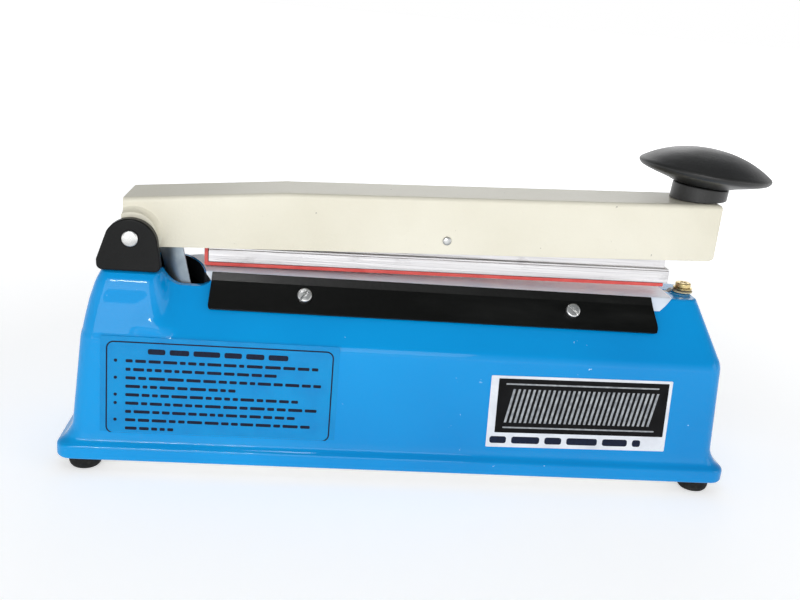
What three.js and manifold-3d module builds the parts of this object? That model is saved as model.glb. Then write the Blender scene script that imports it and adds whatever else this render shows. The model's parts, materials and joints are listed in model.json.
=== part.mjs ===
// Hand-held impulse heat sealer for plastic bags: a hollow base with the electrics inside,
// a sealing jaw along its ridge, and a hinged arm that carries the pressing bar.
// Millimetres, +Z up, X along the machine from the hinge to the knob, Y from front to back.
import * as THREE from "three";
import { mergeVertices } from "three/addons/utils/BufferGeometryUtils.js";
import Module from "manifold-3d";

// ---- Driving dimensions -------------------------------------------------------------
const gap = 0.3; // clearance between pieces that touch
const floor = -2.2; // where the feet stand, under the base's own datum
const footprint = { offsetX: -5.05, offsetY: -6.45 }; // from the base's centre to the whole box's centre

const flangeHalfLength = 156;
const flangeHalfDepth = 40;
const flangeBottom = 4.5;
const wallFoot = { z: 17.2, left: -149.8, right: 149.8, halfDepth: 36.6 };
const crease = { z: 61, left: -146.2, right: 148.2, halfDepth: 34 };
const ridge = { z: 87.6, left: -138.2, right: 138.2, halfDepth: 14 };
const wall = 2;
const ridgeFloor = 78.4; // ceiling of the hollow under the ridge

const leverMouth = { left: -114.5, right: -91.2, floor: 82, front: -15, back: 10.5, holeLeft: -117.5 };
const pedestal = { left: -138.7, right: -111.8, top: 88.9, halfDepth: 27 };
const pin = { x: -125.3, z: 104.1, radius: 3 };
const armTilt = THREE.MathUtils.degToRad(2.05);
const armLength = 267.7; // from the hinge pin to the free end
const armLeft = -4.5;
const armHalfWidth = 16;
const armBottom = -6; // under the pin's axis
const armBendX = 65.5;
const armTop = { left: 15.7, bend: 19.8, right: 20.6 };
const armSheet = 2;
const rivetOnArm = { x: 139.5, z: 0.3, radius: 1.8 };
const barTilt = THREE.MathUtils.degToRad(0.746);
const bar = { left: -107.8, right: 109.4, webRight: 107.8, bottom: -17.3, shoulder: -10.6, webTop: 3 };
const siliconeThickness = 1.6;
const siliconeGap = 0.2;
const knobLean = THREE.MathUtils.degToRad(6.3);
const knobX = 260.6;
const knobRadius = 30.75;

const jaw = { left: -91, right: 124, halfWidth: 6, bottom: 81.8, top: 86.3 };
const clothSheet = 0.35;
const clothBottom = 87.75;
const plateSheet = 1.4;
const clampScrewX = [-48.9, 75];
const terminalX = 134.9;

const basePlate = { bottom: 7.2, top: 8.8 };
const footPlace = { x: 144.3, y: 30 };
const transformerX = -15;
const timerPlace = { x: 70, z: 38 };
const lampPlace = { x: 22, z: 38 };
const grommetPlace = { x: -100, z: 24 };
const springPlace = { left: -134.9, right: -112.4, y: -5.5, z: 78.5 };
const switchBox = { left: -134, right: -118, front: 2.6, back: 12.6, bottom: 55, top: 83 };

const colours = {
  bluePaint: [0x2a9df0, 0.25, 0.1],
  creamPaint: [0xe0dccd, 0.45, 0.1],
  blackPaint: [0x1c1d1c, 0.45, 0.2],
  blackPlastic: [0x232524, 0.4, 0],
  rubber: [0x161616, 0.9, 0],
  zinc: [0xc4c6c4, 0.35, 0.9],
  aluminium: [0xd8d8da, 0.35, 0.9],
  brass: [0xc9a557, 0.3, 0.9],
  silicone: [0xd8605c, 0.6, 0],
  ptfe: [0xe4ecf6, 0.5, 0],
  nichrome: [0x8f8d8a, 0.4, 0.9],
  insulation: [0xd9cfae, 0.7, 0],
  laminations: [0x6a6c70, 0.5, 0.8],
  windingTape: [0xd2a63c, 0.6, 0],
  board: [0x2f7d4a, 0.5, 0],
  relayBlue: [0x2a55a8, 0.4, 0],
  redLens: [0xd01c1c, 0.2, 0],
  bareWire: [0xe8e2d4, 0.5, 0],
};

// ---- Solids -------------------------------------------------------------------------
const wasm = await Module();
wasm.setup();

// A closed geometry as a manifold solid: only positions, shared vertices merged.
function solidOf(geometry) {
  const bare = geometry.clone();
  bare.deleteAttribute("normal");
  bare.deleteAttribute("uv");
  const merged = mergeVertices(bare, 1e-4);
  return new wasm.Manifold(
    new wasm.Mesh({
      numProp: 3,
      vertProperties: new Float32Array(merged.attributes.position.array),
      triVerts: new Uint32Array(merged.index.array),
    }),
  );
}

function geometryOf(solid) {
  const mesh = solid.getMesh();
  const geometry = new THREE.BufferGeometry();
  geometry.setAttribute("position", new THREE.BufferAttribute(mesh.vertProperties, 3));
  geometry.setIndex(new THREE.BufferAttribute(mesh.triVerts, 1));
  geometry.computeVertexNormals();
  return geometry;
}

function join(...geometries) {
  return geometryOf(geometries.map(solidOf).reduce((sum, next) => sum.add(next)));
}

function cut(geometry, ...tools) {
  return geometryOf(tools.map(solidOf).reduce((rest, tool) => rest.subtract(tool), solidOf(geometry)));
}

function common(a, b) {
  return geometryOf(solidOf(a).intersect(solidOf(b)));
}

// ---- Shapes -------------------------------------------------------------------------
function box(x0, x1, y0, y1, z0, z1) {
  const geometry = new THREE.BoxGeometry(x1 - x0, y1 - y0, z1 - z0);
  return geometry.translate((x0 + x1) / 2, (y0 + y1) / 2, (z0 + z1) / 2);
}

function outline(points) {
  return new THREE.Shape(points.map(([x, y]) => new THREE.Vector2(x, y)));
}

function roundedRectangle(halfX, halfY, radius) {
  const shape = new THREE.Shape();
  const x = halfX - radius;
  const y = halfY - radius;
  shape.absarc(x, y, radius, 0, Math.PI / 2);
  shape.absarc(-x, y, radius, Math.PI / 2, Math.PI);
  shape.absarc(-x, -y, radius, Math.PI, 1.5 * Math.PI);
  shape.absarc(x, -y, radius, 1.5 * Math.PI, 2 * Math.PI);
  return shape;
}

function extrude(shape, length, options = {}) {
  return new THREE.ExtrudeGeometry(shape, {
    depth: length,
    bevelEnabled: false,
    curveSegments: 4,
    ...options,
  });
}

// Outline in X and Z, pushed along Y from y0 to y1.
function alongY(shape, y0, y1, options) {
  return extrude(shape, y1 - y0, options).rotateX(Math.PI / 2).translate(0, y1, 0);
}

// Outline in Y and Z, pushed along X from x0 to x1.
function alongX(shape, x0, x1, options) {
  const turn = new THREE.Matrix4().set(0, 0, 1, x0, 1, 0, 0, 0, 0, 1, 0, 0, 0, 0, 0, 1);
  return extrude(shape, x1 - x0, options).applyMatrix4(turn);
}

// A profile of [radius, height] pairs, listed upwards on the outside, turned about Z.
function turned(profile, segments = 16) {
  const points = profile.map(([r, h]) => new THREE.Vector2(r, h));
  return new THREE.LatheGeometry(points, segments).rotateX(Math.PI / 2);
}

function rod(radius, z0, z1, segments = 14) {
  return turned([[0, z0], [radius, z0], [radius, z1], [0, z1]], segments);
}

function ring(outer, inner, z0, z1, segments = 16) {
  return turned([[inner, z0], [outer, z0], [outer, z1], [inner, z1], [inner, z0]], segments);
}

// A rod along Y, centred on (x, z).
function rodAlongY(radius, x, z, y0, y1, segments = 16) {
  return rod(radius, -y1, -y0, segments).rotateX(Math.PI / 2).translate(x, 0, z);
}

// Stacked rounded rectangles, each level giving its own ends, depth and corner radius.
function loft(levels) {
  const unit = { half: 100, radius: 40 };
  const core = unit.half - unit.radius;
  const shape = roundedRectangle(unit.half, unit.half, unit.radius);
  const geometry = extrude(shape, levels.length - 1, { steps: levels.length - 1 });
  const place = geometry.attributes.position;
  for (let i = 0; i < place.count; i++) {
    const level = levels[Math.round(place.getZ(i))];
    const shrink = level.radius / unit.radius;
    const sideX = Math.sign(place.getX(i));
    const sideY = Math.sign(place.getY(i));
    const cornerX = (place.getX(i) - sideX * core) * shrink;
    const cornerY = (place.getY(i) - sideY * core) * shrink;
    const middle = (level.left + level.right) / 2;
    const reach = (level.right - level.left) / 2 - level.radius;
    place.setXYZ(
      i,
      middle + sideX * reach + cornerX,
      sideY * (level.halfDepth - level.radius) + cornerY,
      level.z,
    );
  }
  return geometry;
}

function level(z, left, right, halfDepth, radius) {
  return { z, left, right, halfDepth, radius };
}

function regularPolygon(radius, sides) {
  return outline(Array.from({ length: sides }, (_, i) => {
    const angle = (i / sides) * 2 * Math.PI;
    return [radius * Math.cos(angle), radius * Math.sin(angle)];
  }));
}

// A round tube through a list of points.
function wire(points, radius, steps, sides) {
  const path = new THREE.CatmullRomCurve3(points.map((p) => new THREE.Vector3(...p)));
  return new THREE.ExtrudeGeometry(regularPolygon(radius, sides), { steps, extrudePath: path });
}

// ---- Scene helpers ------------------------------------------------------------------
const sealer = new THREE.Group();
const machine = new THREE.Group();
machine.position.set(footprint.offsetX, footprint.offsetY, -floor);
sealer.add(machine);

function add(parent, name, colour, geometry) {
  const [color, roughness, metalness] = colours[colour];
  const material = new THREE.MeshStandardMaterial({ color, roughness, metalness });
  const mesh = new THREE.Mesh(geometry, material);
  mesh.name = name;
  parent.add(mesh);
  return mesh;
}

function groupAt(parent, x, y, z) {
  const group = new THREE.Group();
  group.position.set(x, y, z);
  parent.add(group);
  return group;
}

// ---- The sloping shoulder: points given by the way up from the crease and the height off it
const shoulderRun = crease.halfDepth - ridge.halfDepth;
const shoulderRise = ridge.z - crease.z;
const shoulderLength = Math.hypot(shoulderRun, shoulderRise);
const shoulderUp = { y: -shoulderRun / shoulderLength, z: shoulderRise / shoulderLength };
const shoulderAngle = Math.atan2(shoulderRise, shoulderRun);

function onShoulder(way, off) {
  return [
    crease.halfDepth + way * shoulderUp.y + off * shoulderUp.z,
    crease.z + way * shoulderUp.z - off * shoulderUp.y,
  ];
}

// ---- Housing ------------------------------------------------------------------------
function bodyLevel(z, radius, inset = 0) {
  const [from, to] = z < crease.z ? [wallFoot, crease] : [crease, ridge];
  const share = (z - from.z) / (to.z - from.z);
  const between = (side) => from[side] + share * (to[side] - from[side]);
  return level(z, between("left") + inset, between("right") - inset, between("halfDepth") - inset, radius);
}

function flangeLevel(z, inset, radius) {
  const halfLength = flangeHalfLength - inset;
  return level(z, -halfLength, halfLength, flangeHalfDepth - inset, radius);
}

function wallInner() {
  return loft([
    flangeLevel(flangeBottom - 1, 2.4, 4.8),
    flangeLevel(9.8, 2.4, 4.8),
    bodyLevel(wallFoot.z - 1.6, 5, wall),
    bodyLevel(crease.z, 5, wall),
    bodyLevel(ridgeFloor, 4, 2.6),
  ]);
}

function pedestalOuter() {
  const { left, right, top, halfDepth } = pedestal;
  return loft([
    level(crease.z - 3, left - 6.9, right + 8.5, crease.halfDepth - 0.6, 7),
    level(crease.z + 0.4, left - 7, right + 9.5, crease.halfDepth - 0.4, 7),
    level(crease.z + 3, left - 6.7, right + 5.5, crease.halfDepth - 1, 7),
    level(crease.z + 8, left - 5.9, right + 2.6, halfDepth + 4.4, 7),
    level(crease.z + 15, left - 4.5, right + 1.3, halfDepth + 2.7, 7),
    level(top - 5, left - 2, right + 0.3, halfDepth + 1.2, 6.5),
    level(top - 1.5, left - 0.4, right - 0.3, halfDepth, 6),
    level(top, left + 1.4, right - 1.8, halfDepth - 1.6, 5),
  ]);
}

function pedestalInner() {
  const { left, right, top, halfDepth } = pedestal;
  return loft([
    level(crease.z - 8, left - 4.2, right + 4, crease.halfDepth - 4, 6),
    level(top - 2.4, left + 2.6, right - 3.6, halfDepth - 3.4, 4),
  ]);
}

// The lever's way into the hollow: a round-bottomed notch in the front shoulder...
function leverNotch() {
  const { floor: bottom, left, right } = leverMouth;
  const shape = new THREE.Shape();
  shape.moveTo(left, ridge.z + 4);
  shape.quadraticCurveTo(left + 4.8, bottom + 0.3, left + 10.5, bottom);
  shape.lineTo(right - 5.5, bottom);
  shape.quadraticCurveTo(right - 1.7, bottom + 0.2, right, bottom + 2.6);
  shape.lineTo(right - 3, ridge.z + 0.6);
  shape.lineTo(right - 3, ridge.z + 4);
  return alongY(shape, -30, leverMouth.front + 1);
}

// ...and, behind it, a hole through the ridge's roof whose rim curves back to the left.
function leverHole() {
  const { left, right, front, back, holeLeft } = leverMouth;
  const shape = new THREE.Shape();
  shape.moveTo(holeLeft, front);
  shape.lineTo(right - 3, front);
  shape.quadraticCurveTo(right - 5.6, 1.5, left + 9.7, back);
  shape.lineTo(holeLeft, back);
  return extrude(shape, 42).translate(0, 0, 58);
}

const backSlope = Math.atan2(wallFoot.halfDepth - crease.halfDepth, crease.z - wallFoot.z);

function backWallY(z) {
  return wallFoot.halfDepth - (z - wallFoot.z) * Math.tan(backSlope);
}

// Turns a geometry made along Z so that it stands square on the back wall.
function onBackWall(geometry, { x, z }) {
  return geometry.rotateX(backSlope - Math.PI / 2).translate(x, backWallY(z), z);
}

// Turns a geometry made along Z so that it stands square on the front (-1) or back (1) shoulder.
function onShoulderFace(geometry, x, way, side) {
  const [y, z] = onShoulder(way, 0);
  return geometry.rotateX(-side * shoulderAngle).translate(x, side * y, z);
}

const clampScrewWay = 23.3;

function housing() {
  const outer = join(
    loft([
      flangeLevel(flangeBottom, 0.6, 6.6),
      flangeLevel(flangeBottom + 0.9, 0, 7),
      flangeLevel(9.9, 0, 7),
      flangeLevel(11.4, 0.9, 6.8),
      flangeLevel(12.3, 2.4, 6.8),
      level(14.2, -151.6, 151.6, 37.4, 6.8),
      bodyLevel(wallFoot.z, 7),
      bodyLevel(crease.z - 1.2, 7),
      bodyLevel(crease.z + 1.2, 7, 0.1),
      bodyLevel(ridge.z - 3, 6, 0.1),
      bodyLevel(ridge.z - 0.9, 5, 0.3),
      bodyLevel(ridge.z, 4, 1.1),
    ]),
    pedestalOuter(),
  );
  const shell = cut(
    outer,
    wallInner(),
    pedestalInner(),
    leverNotch(),
    leverHole(),
    box(jaw.left - 2.5, jaw.left + 2.5, -2.6, 2.6, 58, 100), // the left lead's way up to the ribbon
    box(jaw.left - gap, jaw.right + gap, -jaw.halfWidth - gap, jaw.halfWidth + gap, jaw.bottom - gap, 100),
    box(jaw.right, 130, -2, 2, jaw.top + 0.5, 100),
    rod(3.3, ridgeFloor - 2, 100).translate(terminalX, 0, 0),
    onBackWall(rod(3.7, -5, 5), timerPlace),
    onBackWall(rod(4.9, -5, 5), lampPlace),
    onBackWall(rod(6, -5, 5), grommetPlace),
    ...bracketScrewX.map((x) => rod(2.1, 80, 100, 10).translate(x, 0, 0)),
    ...clampScrewX.map((x) => onShoulderFace(rod(2, -6, 6, 10), x, clampScrewWay, -1)),
    ...clampScrewX.map((x) => onShoulderFace(rod(2, -6, 6, 10), x, clampScrewWay, 1)),
  );
  const bosses = footCorners.map(([x, y]) => rod(5, basePlate.top + gap, 19).translate(x, y, 0));
  const screwHoles = footCorners.map(([x, y]) => rod(2, 5, 18, 10).translate(x, y, 0));
  return cut(join(shell, ...bosses), ...screwHoles);
}

const footCorners = [[-1, -1], [1, -1], [-1, 1], [1, 1]].map(([a, b]) => [a * footPlace.x, b * footPlace.y]);
const footNames = ["front_left", "front_right", "back_left", "back_right"];
const bracketScrewX = [-132.5, -121.5];

add(machine, "housing", "bluePaint", housing());

// ---- Base plate, feet and their screws ----------------------------------------------
const transformerScrewX = [transformerX - 40.5, transformerX + 40.5];
const basePlateHoles = [...footCorners, ...transformerScrewX.map((x) => [x, 0])];
add(
  machine,
  "base_plate",
  "zinc",
  cut(
    extrude(roundedRectangle(153.2, 37.2, 4.4), basePlate.top - basePlate.bottom)
      .translate(0, 0, basePlate.bottom),
    ...basePlateHoles.map(([x, y]) => rod(2.2, 0, 20, 10).translate(x, y, 0)),
  ),
);

const footProfile = [
  [4.4, floor], [5.6, floor], [6.7, floor + 0.7], [7.2, floor + 2], [7.3, 6.9], [2.2, 6.9], [2.2, 2.8],
  [4.4, 2.8], [4.4, floor],
];
const footScrewProfile = [[0, 0.6], [2.6, 0.8], [3.8, 1.6], [3.8, 2.5], [1.7, 2.5], [1.7, 17], [0, 17]];
footCorners.forEach(([x, y], i) => {
  const corner = groupAt(machine, x, y, 0);
  add(corner, "foot_" + footNames[i], "rubber", turned(footProfile));
  const slot = box(-5, 5, -0.5, 0.5, 0, 1.3);
  add(corner, "foot_screw_" + footNames[i], "zinc", cut(turned(footScrewProfile, 16), slot));
});

// ---- Transformer --------------------------------------------------------------------
const core = { halfX: 33, halfY: 20, bottom: 9.1, top: 64.1, leg: 11 };
const transformer = groupAt(machine, transformerX, 0, 0);

function coreWindow(side) {
  const x0 = side > 0 ? core.leg : -2 * core.leg;
  return box(x0, x0 + core.leg, -30, 30, core.bottom + core.leg, core.top - core.leg);
}

function winding() {
  const ringShape = roundedRectangle(2 * core.leg - gap, core.halfY + 9.5, 4);
  ringShape.holes.push(roundedRectangle(core.leg + gap, core.halfY + gap, 1));
  const bottom = core.bottom + core.leg + gap;
  return extrude(ringShape, core.top - core.leg - gap - bottom).translate(0, 0, bottom);
}

function clampFrame() {
  const sheet = 1.4;
  const inner = core.halfX + gap;
  const outer = inner + sheet;
  const foot = outer + 11;
  const top = core.top + gap;
  const half = [
    [foot, core.bottom], [foot, core.bottom + sheet], [outer, core.bottom + sheet],
    [outer, top + sheet],
  ];
  const inside = [[inner, top], [inner, core.bottom]];
  const mirrored = (points) => points.map(([x, z]) => [-x, z]).reverse();
  const shape = outline([...half, ...mirrored(half), ...mirrored(inside), ...inside]);
  return cut(alongY(shape, -12, 12), ...[-40.5, 40.5].map((x) => rod(2.2, 0, 20, 16).translate(x, 0, 0)));
}

const coreBlock = box(-core.halfX, core.halfX, -core.halfY, core.halfY, core.bottom, core.top);
add(transformer, "transformer_core", "laminations", cut(coreBlock, coreWindow(-1), coreWindow(1)));
add(transformer, "transformer_winding", "windingTape", winding());
add(transformer, "transformer_clamp", "zinc", clampFrame());
const panScrewProfile = [[0, 5.6], [1.9, 5.6], [1.9, 10.8], [3.6, 10.8], [3.6, 12], [2.4, 13.2], [0, 13.4]];
["left", "right"].forEach((side, i) => {
  const head = turned(panScrewProfile, 16).translate(transformerScrewX[i] - transformerX, 0, 0);
  add(transformer, "transformer_screw_" + side, "zinc", head);
});

// ---- Timer: potentiometer, board, dial and knob on the back wall ---------------------
function wallGroup({ x, z }) {
  const group = groupAt(machine, x, backWallY(z), z);
  group.rotation.x = backSlope - Math.PI / 2;
  return group;
}

function timerKnob() {
  const radius = 11.5;
  const grip = new THREE.Shape();
  const flutes = 12;
  for (let i = 0; i < 4 * flutes; i++) {
    const angle = (i / (4 * flutes)) * 2 * Math.PI;
    const r = radius - (i % 4 < 2 ? 0 : 0.7);
    const point = [r * Math.sin(angle), r * Math.cos(angle)];
    if (i === 0) grip.moveTo(...point);
    else grip.lineTo(...point);
  }
  const skirt = turned([[0, 3.9], [12.6, 3.9], [12.6, 5.4], [11.4, 6.2], [0, 6.2]]);
  const body = extrude(grip, 9.6).translate(0, 0, 6);
  const crown = turned([[0, 15], [11.2, 15], [10.6, 16.4], [9.4, 17], [0, 17]]);
  const spindle = rod(2.3, -1, 5, 16);
  const pointer = box(-0.6, 0.6, -12, -3, 16.5, 18).rotateZ(0.75 * Math.PI); // at the scale's start
  return cut(join(skirt, body, crown, spindle), pointer);
}

const timer = wallGroup(timerPlace);
const dialShape = roundedRectangle(22, 20, 3);
add(timer, "dial_plate", "aluminium", cut(extrude(dialShape, 0.6).translate(0, 0, gap), rod(3.8, -1, 3)));
add(timer, "potentiometer", "zinc", turned([
  [0, -10.8], [8.2, -10.8], [8.2, -2.6], [3.4, -2.6], [3.4, 3.6], [2.6, 3.6], [2.6, -1.6], [0, -1.6],
]));
const nutBlank = extrude(regularPolygon(6.2, 6), 2.2).translate(0, 0, 1.2);
add(timer, "potentiometer_nut", "zinc", cut(nutBlank, rod(3.7, 0, 5)));
add(timer, "timer_knob", "blackPlastic", timerKnob());
add(timer, "timer_board", "board", box(-32, 38, -19, 19, -12.8, -11.2));
add(timer, "relay", "relayBlue", box(8, 27, -9, 7, -28.6, -13.1));
add(timer, "board_capacitor", "blackPlastic", rod(5, -26, -13.1).translate(-8, 8, 0));
add(timer, "alarm_buzzer", "blackPlastic", ring(6.5, 1.2, -21, -13.1).translate(-20, -6, 0));

// ---- Signal lamp and cord inlet -----------------------------------------------------
const lamp = wallGroup(lampPlace);
add(lamp, "lamp_bezel", "zinc", turned([
  [3.8, -4], [4.6, -4], [4.6, gap], [6.4, gap], [6.2, 1.6], [5.6, 2.2], [4.9, 2.2], [4.9, 0.9],
  [3.8, 0.9], [3.8, -4],
]));
add(lamp, "lamp_lens", "redLens", turned([
  [0, -8], [3.4, -8], [3.4, 1.2], [4.6, 1.2], [4.6, 2.6], [4, 4.2], [2.6, 5.2], [0, 5.6],
]));
const grommet = wallGroup(grommetPlace);
add(grommet, "cord_grommet", "rubber", turned([
  [3.2, -5], [7.4, -5], [7.6, -2.5], [5.7, -2.5], [5.7, gap], [8, gap], [7.6, 2], [6.4, 2.8],
  [3.8, 2.8], [3.2, 2], [3.2, -5],
]));

// ---- Microswitch on its bracket -----------------------------------------------------
const switchSheet = 1.4;
const bracketFront = switchBox.back + gap;
const switchHoles = [61, 77].map((z) => ({ x: (switchBox.left + switchBox.right) / 2, z }));
const bracketOutline = outline([
  [bracketFront, basePlate.top + gap], [bracketFront + 14, basePlate.top + gap],
  [bracketFront + 14, basePlate.top + gap + switchSheet],
  [bracketFront + switchSheet, basePlate.top + gap + switchSheet],
  [bracketFront + switchSheet, switchBox.top], [bracketFront, switchBox.top],
]);
add(machine, "switch_bracket", "zinc", cut(
  alongX(bracketOutline, switchBox.left, switchBox.right),
  ...switchHoles.map(({ x, z }) => rodAlongY(1.7, x, z, 10, 20, 12)),
));
add(machine, "microswitch", "blackPlastic", cut(
  join(
    box(switchBox.left, switchBox.right, switchBox.front, switchBox.back, switchBox.bottom, switchBox.top),
    ...[57, 69, 81].map((z) => box(switchBox.left - 1.8, switchBox.left + 1, 6.5, 8.5, z - 0.4, z + 0.4)),
  ),
  ...switchHoles.map(({ x, z }) => rodAlongY(1.7, x, z, 0, 20, 12)),
));
const switchScrewProfile = [[0, -17], [1.4, -17], [1.4, -2.3], [2.7, -2.3], [2.7, -1], [2, -0.3], [0, -0.3]];
switchHoles.forEach(({ x, z }, i) => {
  const geometry = turned(switchScrewProfile, 12).rotateX(Math.PI / 2).translate(x, 0, z);
  add(machine, "switch_screw_" + ["lower", "upper"][i], "zinc", geometry);
});

// The switch's spring strip, bowed outwards near its top where the lever presses it.
function switchLever() {
  const back = switchBox.right + 0.4;
  const front = back + 0.8;
  const strip = new THREE.Shape();
  strip.moveTo(back, 58.5);
  strip.lineTo(front, 58.5);
  strip.lineTo(front, 76.5);
  strip.quadraticCurveTo(front + 3.4, 79.5, front + 0.6, 82.5);
  strip.lineTo(front - 0.2, 82.2);
  strip.quadraticCurveTo(front + 2, 79.5, back, 77);
  return alongY(strip, 3.4, 9.4);
}

add(machine, "switch_lever", "zinc", switchLever());

// ---- Hinge bracket with its two ears, pin and screws --------------------------------
const ear = { radius: 11.7, centreZ: 100.9, inner: 21, outer: 26, bottom: pedestal.top + gap };
const bridgeTop = ear.bottom + 2.3;

function earShape() {
  const shape = new THREE.Shape();
  const left = pin.x - 14.6;
  const right = pin.x + 13.4;
  const fromRight = THREE.MathUtils.degToRad(4);
  const toLeft = THREE.MathUtils.degToRad(152);
  shape.moveTo(left + 3, ear.bottom);
  shape.lineTo(right - 3, ear.bottom);
  shape.quadraticCurveTo(right, ear.bottom, right - 0.3, ear.bottom + 3);
  shape.absarc(pin.x, ear.centreZ, ear.radius, fromRight, toLeft, false);
  shape.lineTo(left, ear.bottom + 4);
  shape.quadraticCurveTo(left - 0.4, ear.bottom, left + 3, ear.bottom);
  return shape;
}

function hingeBracket() {
  const ears = [[-ear.outer, -ear.inner], [ear.inner, ear.outer]];
  const plates = ears.map(([y0, y1]) => alongY(earShape(), y0, y1, { curveSegments: 9 }));
  const bridge = box(pin.x - 12, pin.x + 7.8, -ear.outer + 1, ear.outer - 1, ear.bottom, bridgeTop);
  return cut(
    join(bridge, ...plates),
    rodAlongY(pin.radius + 0.2, pin.x, pin.z, -40, 40),
    ...bracketScrewX.map((x) => rod(2.1, 80, 100, 16).translate(x, 0, 0)),
  );
}

add(machine, "hinge_bracket", "blackPlastic", hingeBracket());
const pinProfile = [
  [0, -27.6], [2.4, -27.4], [3.5, -26.9], [3.5, -26.3], [pin.radius, -26.3], [pin.radius, 26.3],
  [3.5, 26.3], [3.5, 26.9], [2.4, 27.4], [0, 27.6],
];
add(machine, "hinge_pin", "zinc", turned(pinProfile).rotateX(Math.PI / 2).translate(pin.x, 0, pin.z));
const bracketScrewProfile = [
  [0, 84], [1.8, 84], [1.8, 91.8], [3.2, 91.8], [3.2, 92.6], [2.2, 93.5], [0, 93.6],
];
["left", "right"].forEach((side, i) => {
  const screw = turned(bracketScrewProfile, 16).translate(bracketScrewX[i], 0, 0);
  add(machine, "bracket_screw_" + side, "zinc", screw);
});

// ---- Arm: everything here turns about the pin ---------------------------------------
const arm = groupAt(machine, pin.x, 0, pin.z);
arm.rotation.y = -armTilt;

// The arm's side view from a left end, drawn in by an inset, with its lower edge at the given height.
function armSide(left, inset, bottom, cornerRadius) {
  const shape = new THREE.Shape();
  const right = armLength - inset;
  const lean = 1.6; // the free end slopes inwards on its way down
  const rise = (armTop.bend - armTop.left) / (armBendX - armLeft);
  shape.moveTo(left, bottom);
  shape.lineTo(right - lean - cornerRadius, bottom);
  shape.quadraticCurveTo(right - lean, bottom, right - lean, bottom + cornerRadius);
  shape.lineTo(right, armTop.right - inset);
  shape.lineTo(armBendX, armTop.bend - inset);
  shape.lineTo(left, armTop.bend - rise * (armBendX - left) - inset);
  return shape;
}

// Pressed steel: the long edges and the free end are rounded, the hinge end is cut square.
function armShell() {
  const round = 2.2;
  const bevel = { bevelEnabled: true, bevelSize: round, bevelThickness: round, bevelSegments: 3 };
  const inset = armHalfWidth - round;
  const inner = armHalfWidth - armSheet;
  const rounded = alongY(armSide(armLeft - 3, round, armBottom - 2, 1), -inset, inset, bevel);
  const trimmed = common(rounded, alongY(armSide(armLeft, -3, armBottom, 5), -20, 20));
  const hollow = alongY(armSide(armLeft + armSheet, armSheet, armBottom - 6, 1), -inner, inner);
  const bosses = [-1, 1].map((side) => {
    const ends = [side * inner, side * (ear.inner - gap)].sort((a, b) => a - b);
    return rodAlongY(10.5, 0, 0, ends[0], ends[1], 24);
  });
  return cut(
    join(cut(trimmed, hollow), ...bosses),
    box(armLeft - 20, armLeft, -40, 40, -20, 30),
    rodAlongY(pin.radius + 0.3, 0, 0, -40, 40),
    box(armLeft - 1, 0, -inner, inner, -12, 6),
    rodAlongY(rivetOnArm.radius + 0.2, rivetOnArm.x, rivetOnArm.z, -40, 40, 16),
    rod(4.2, 10, 30, 16).translate(knobX, 0, 0),
  );
}

add(arm, "arm_shell", "creamPaint", armShell());
const tubeEnd = armHalfWidth - armSheet - gap;
add(arm, "hinge_tube", "zinc", ring(4.4, pin.radius + 0.2, -tubeEnd, tubeEnd).rotateX(Math.PI / 2));

// Rolled lever plate: flat in front, curving round to a web on the hinge side.
function leverPlate() {
  const sheet = 1.5;
  const front = -13.7;
  const bend = 8.5;
  const centre = { x: 16.2, y: front + bend };
  const edge = 19.2;
  const webEnd = 5.4;
  const shape = new THREE.Shape();
  shape.moveTo(edge, front);
  shape.lineTo(edge, front + sheet);
  shape.lineTo(centre.x, front + sheet);
  shape.absarc(centre.x, centre.y, bend - sheet, 1.5 * Math.PI, Math.PI, true);
  shape.lineTo(centre.x - bend + sheet, webEnd);
  shape.lineTo(centre.x - bend, webEnd);
  shape.lineTo(centre.x - bend, centre.y);
  shape.absarc(centre.x, centre.y, bend, Math.PI, 1.5 * Math.PI, false);
  return extrude(shape, 36).translate(0, 0, -28.6);
}

const lever = groupAt(arm, 0, 0, 0);
lever.rotation.y = THREE.MathUtils.degToRad(-10.8);
add(lever, "lever_plate", "zinc", leverPlate());

const rivetEnd = armHalfWidth + 0.7;
add(arm, "bar_rivet", "zinc", cut(
  rodAlongY(rivetOnArm.radius, 0, 0, -rivetEnd, rivetEnd, 16),
  rodAlongY(0.9, 0, 0, -20, -15, 12),
)).position.set(rivetOnArm.x, 0, rivetOnArm.z);

// ---- Handle knob --------------------------------------------------------------------
const knob = groupAt(arm, knobX, 0, armTop.right);
knob.rotation.y = knobLean;
const collarTop = 6.8;
const collar = common(
  ring(13.1, 3.4, -6, collarTop, 24),
  box(-40, 40, -40, 40, gap, 40).rotateY(-knobLean),
);
add(knob, "knob_collar", "blackPlastic", collar);
add(knob, "handle_knob", "blackPlastic", turned([
  [3.2, collarTop + gap], [12.4, collarTop + gap], [17, 8.4], [24, 10.4], [29.4, 12.2],
  [30.5, 13.1], [knobRadius, 13.9], [30.4, 14.7], [28.6, 16.2], [24.5, 18.6], [18.5, 21.2],
  [11.5, 23.2], [5, 24], [0, 24.1], [0, 19], [3.2, 19], [3.2, collarTop + gap],
], 24));
add(knob, "knob_screw", "zinc", turned([
  [0, -7.4], [4.6, -7.4], [5, -6.8], [5, -3.4], [2.9, -3.4], [2.9, 18], [0, 18],
], 16));

// ---- Pressing bar, rocking on the rivet ---------------------------------------------
const rocker = groupAt(arm, rivetOnArm.x, 0, rivetOnArm.z);
rocker.rotation.y = armTilt - barTilt;

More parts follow.
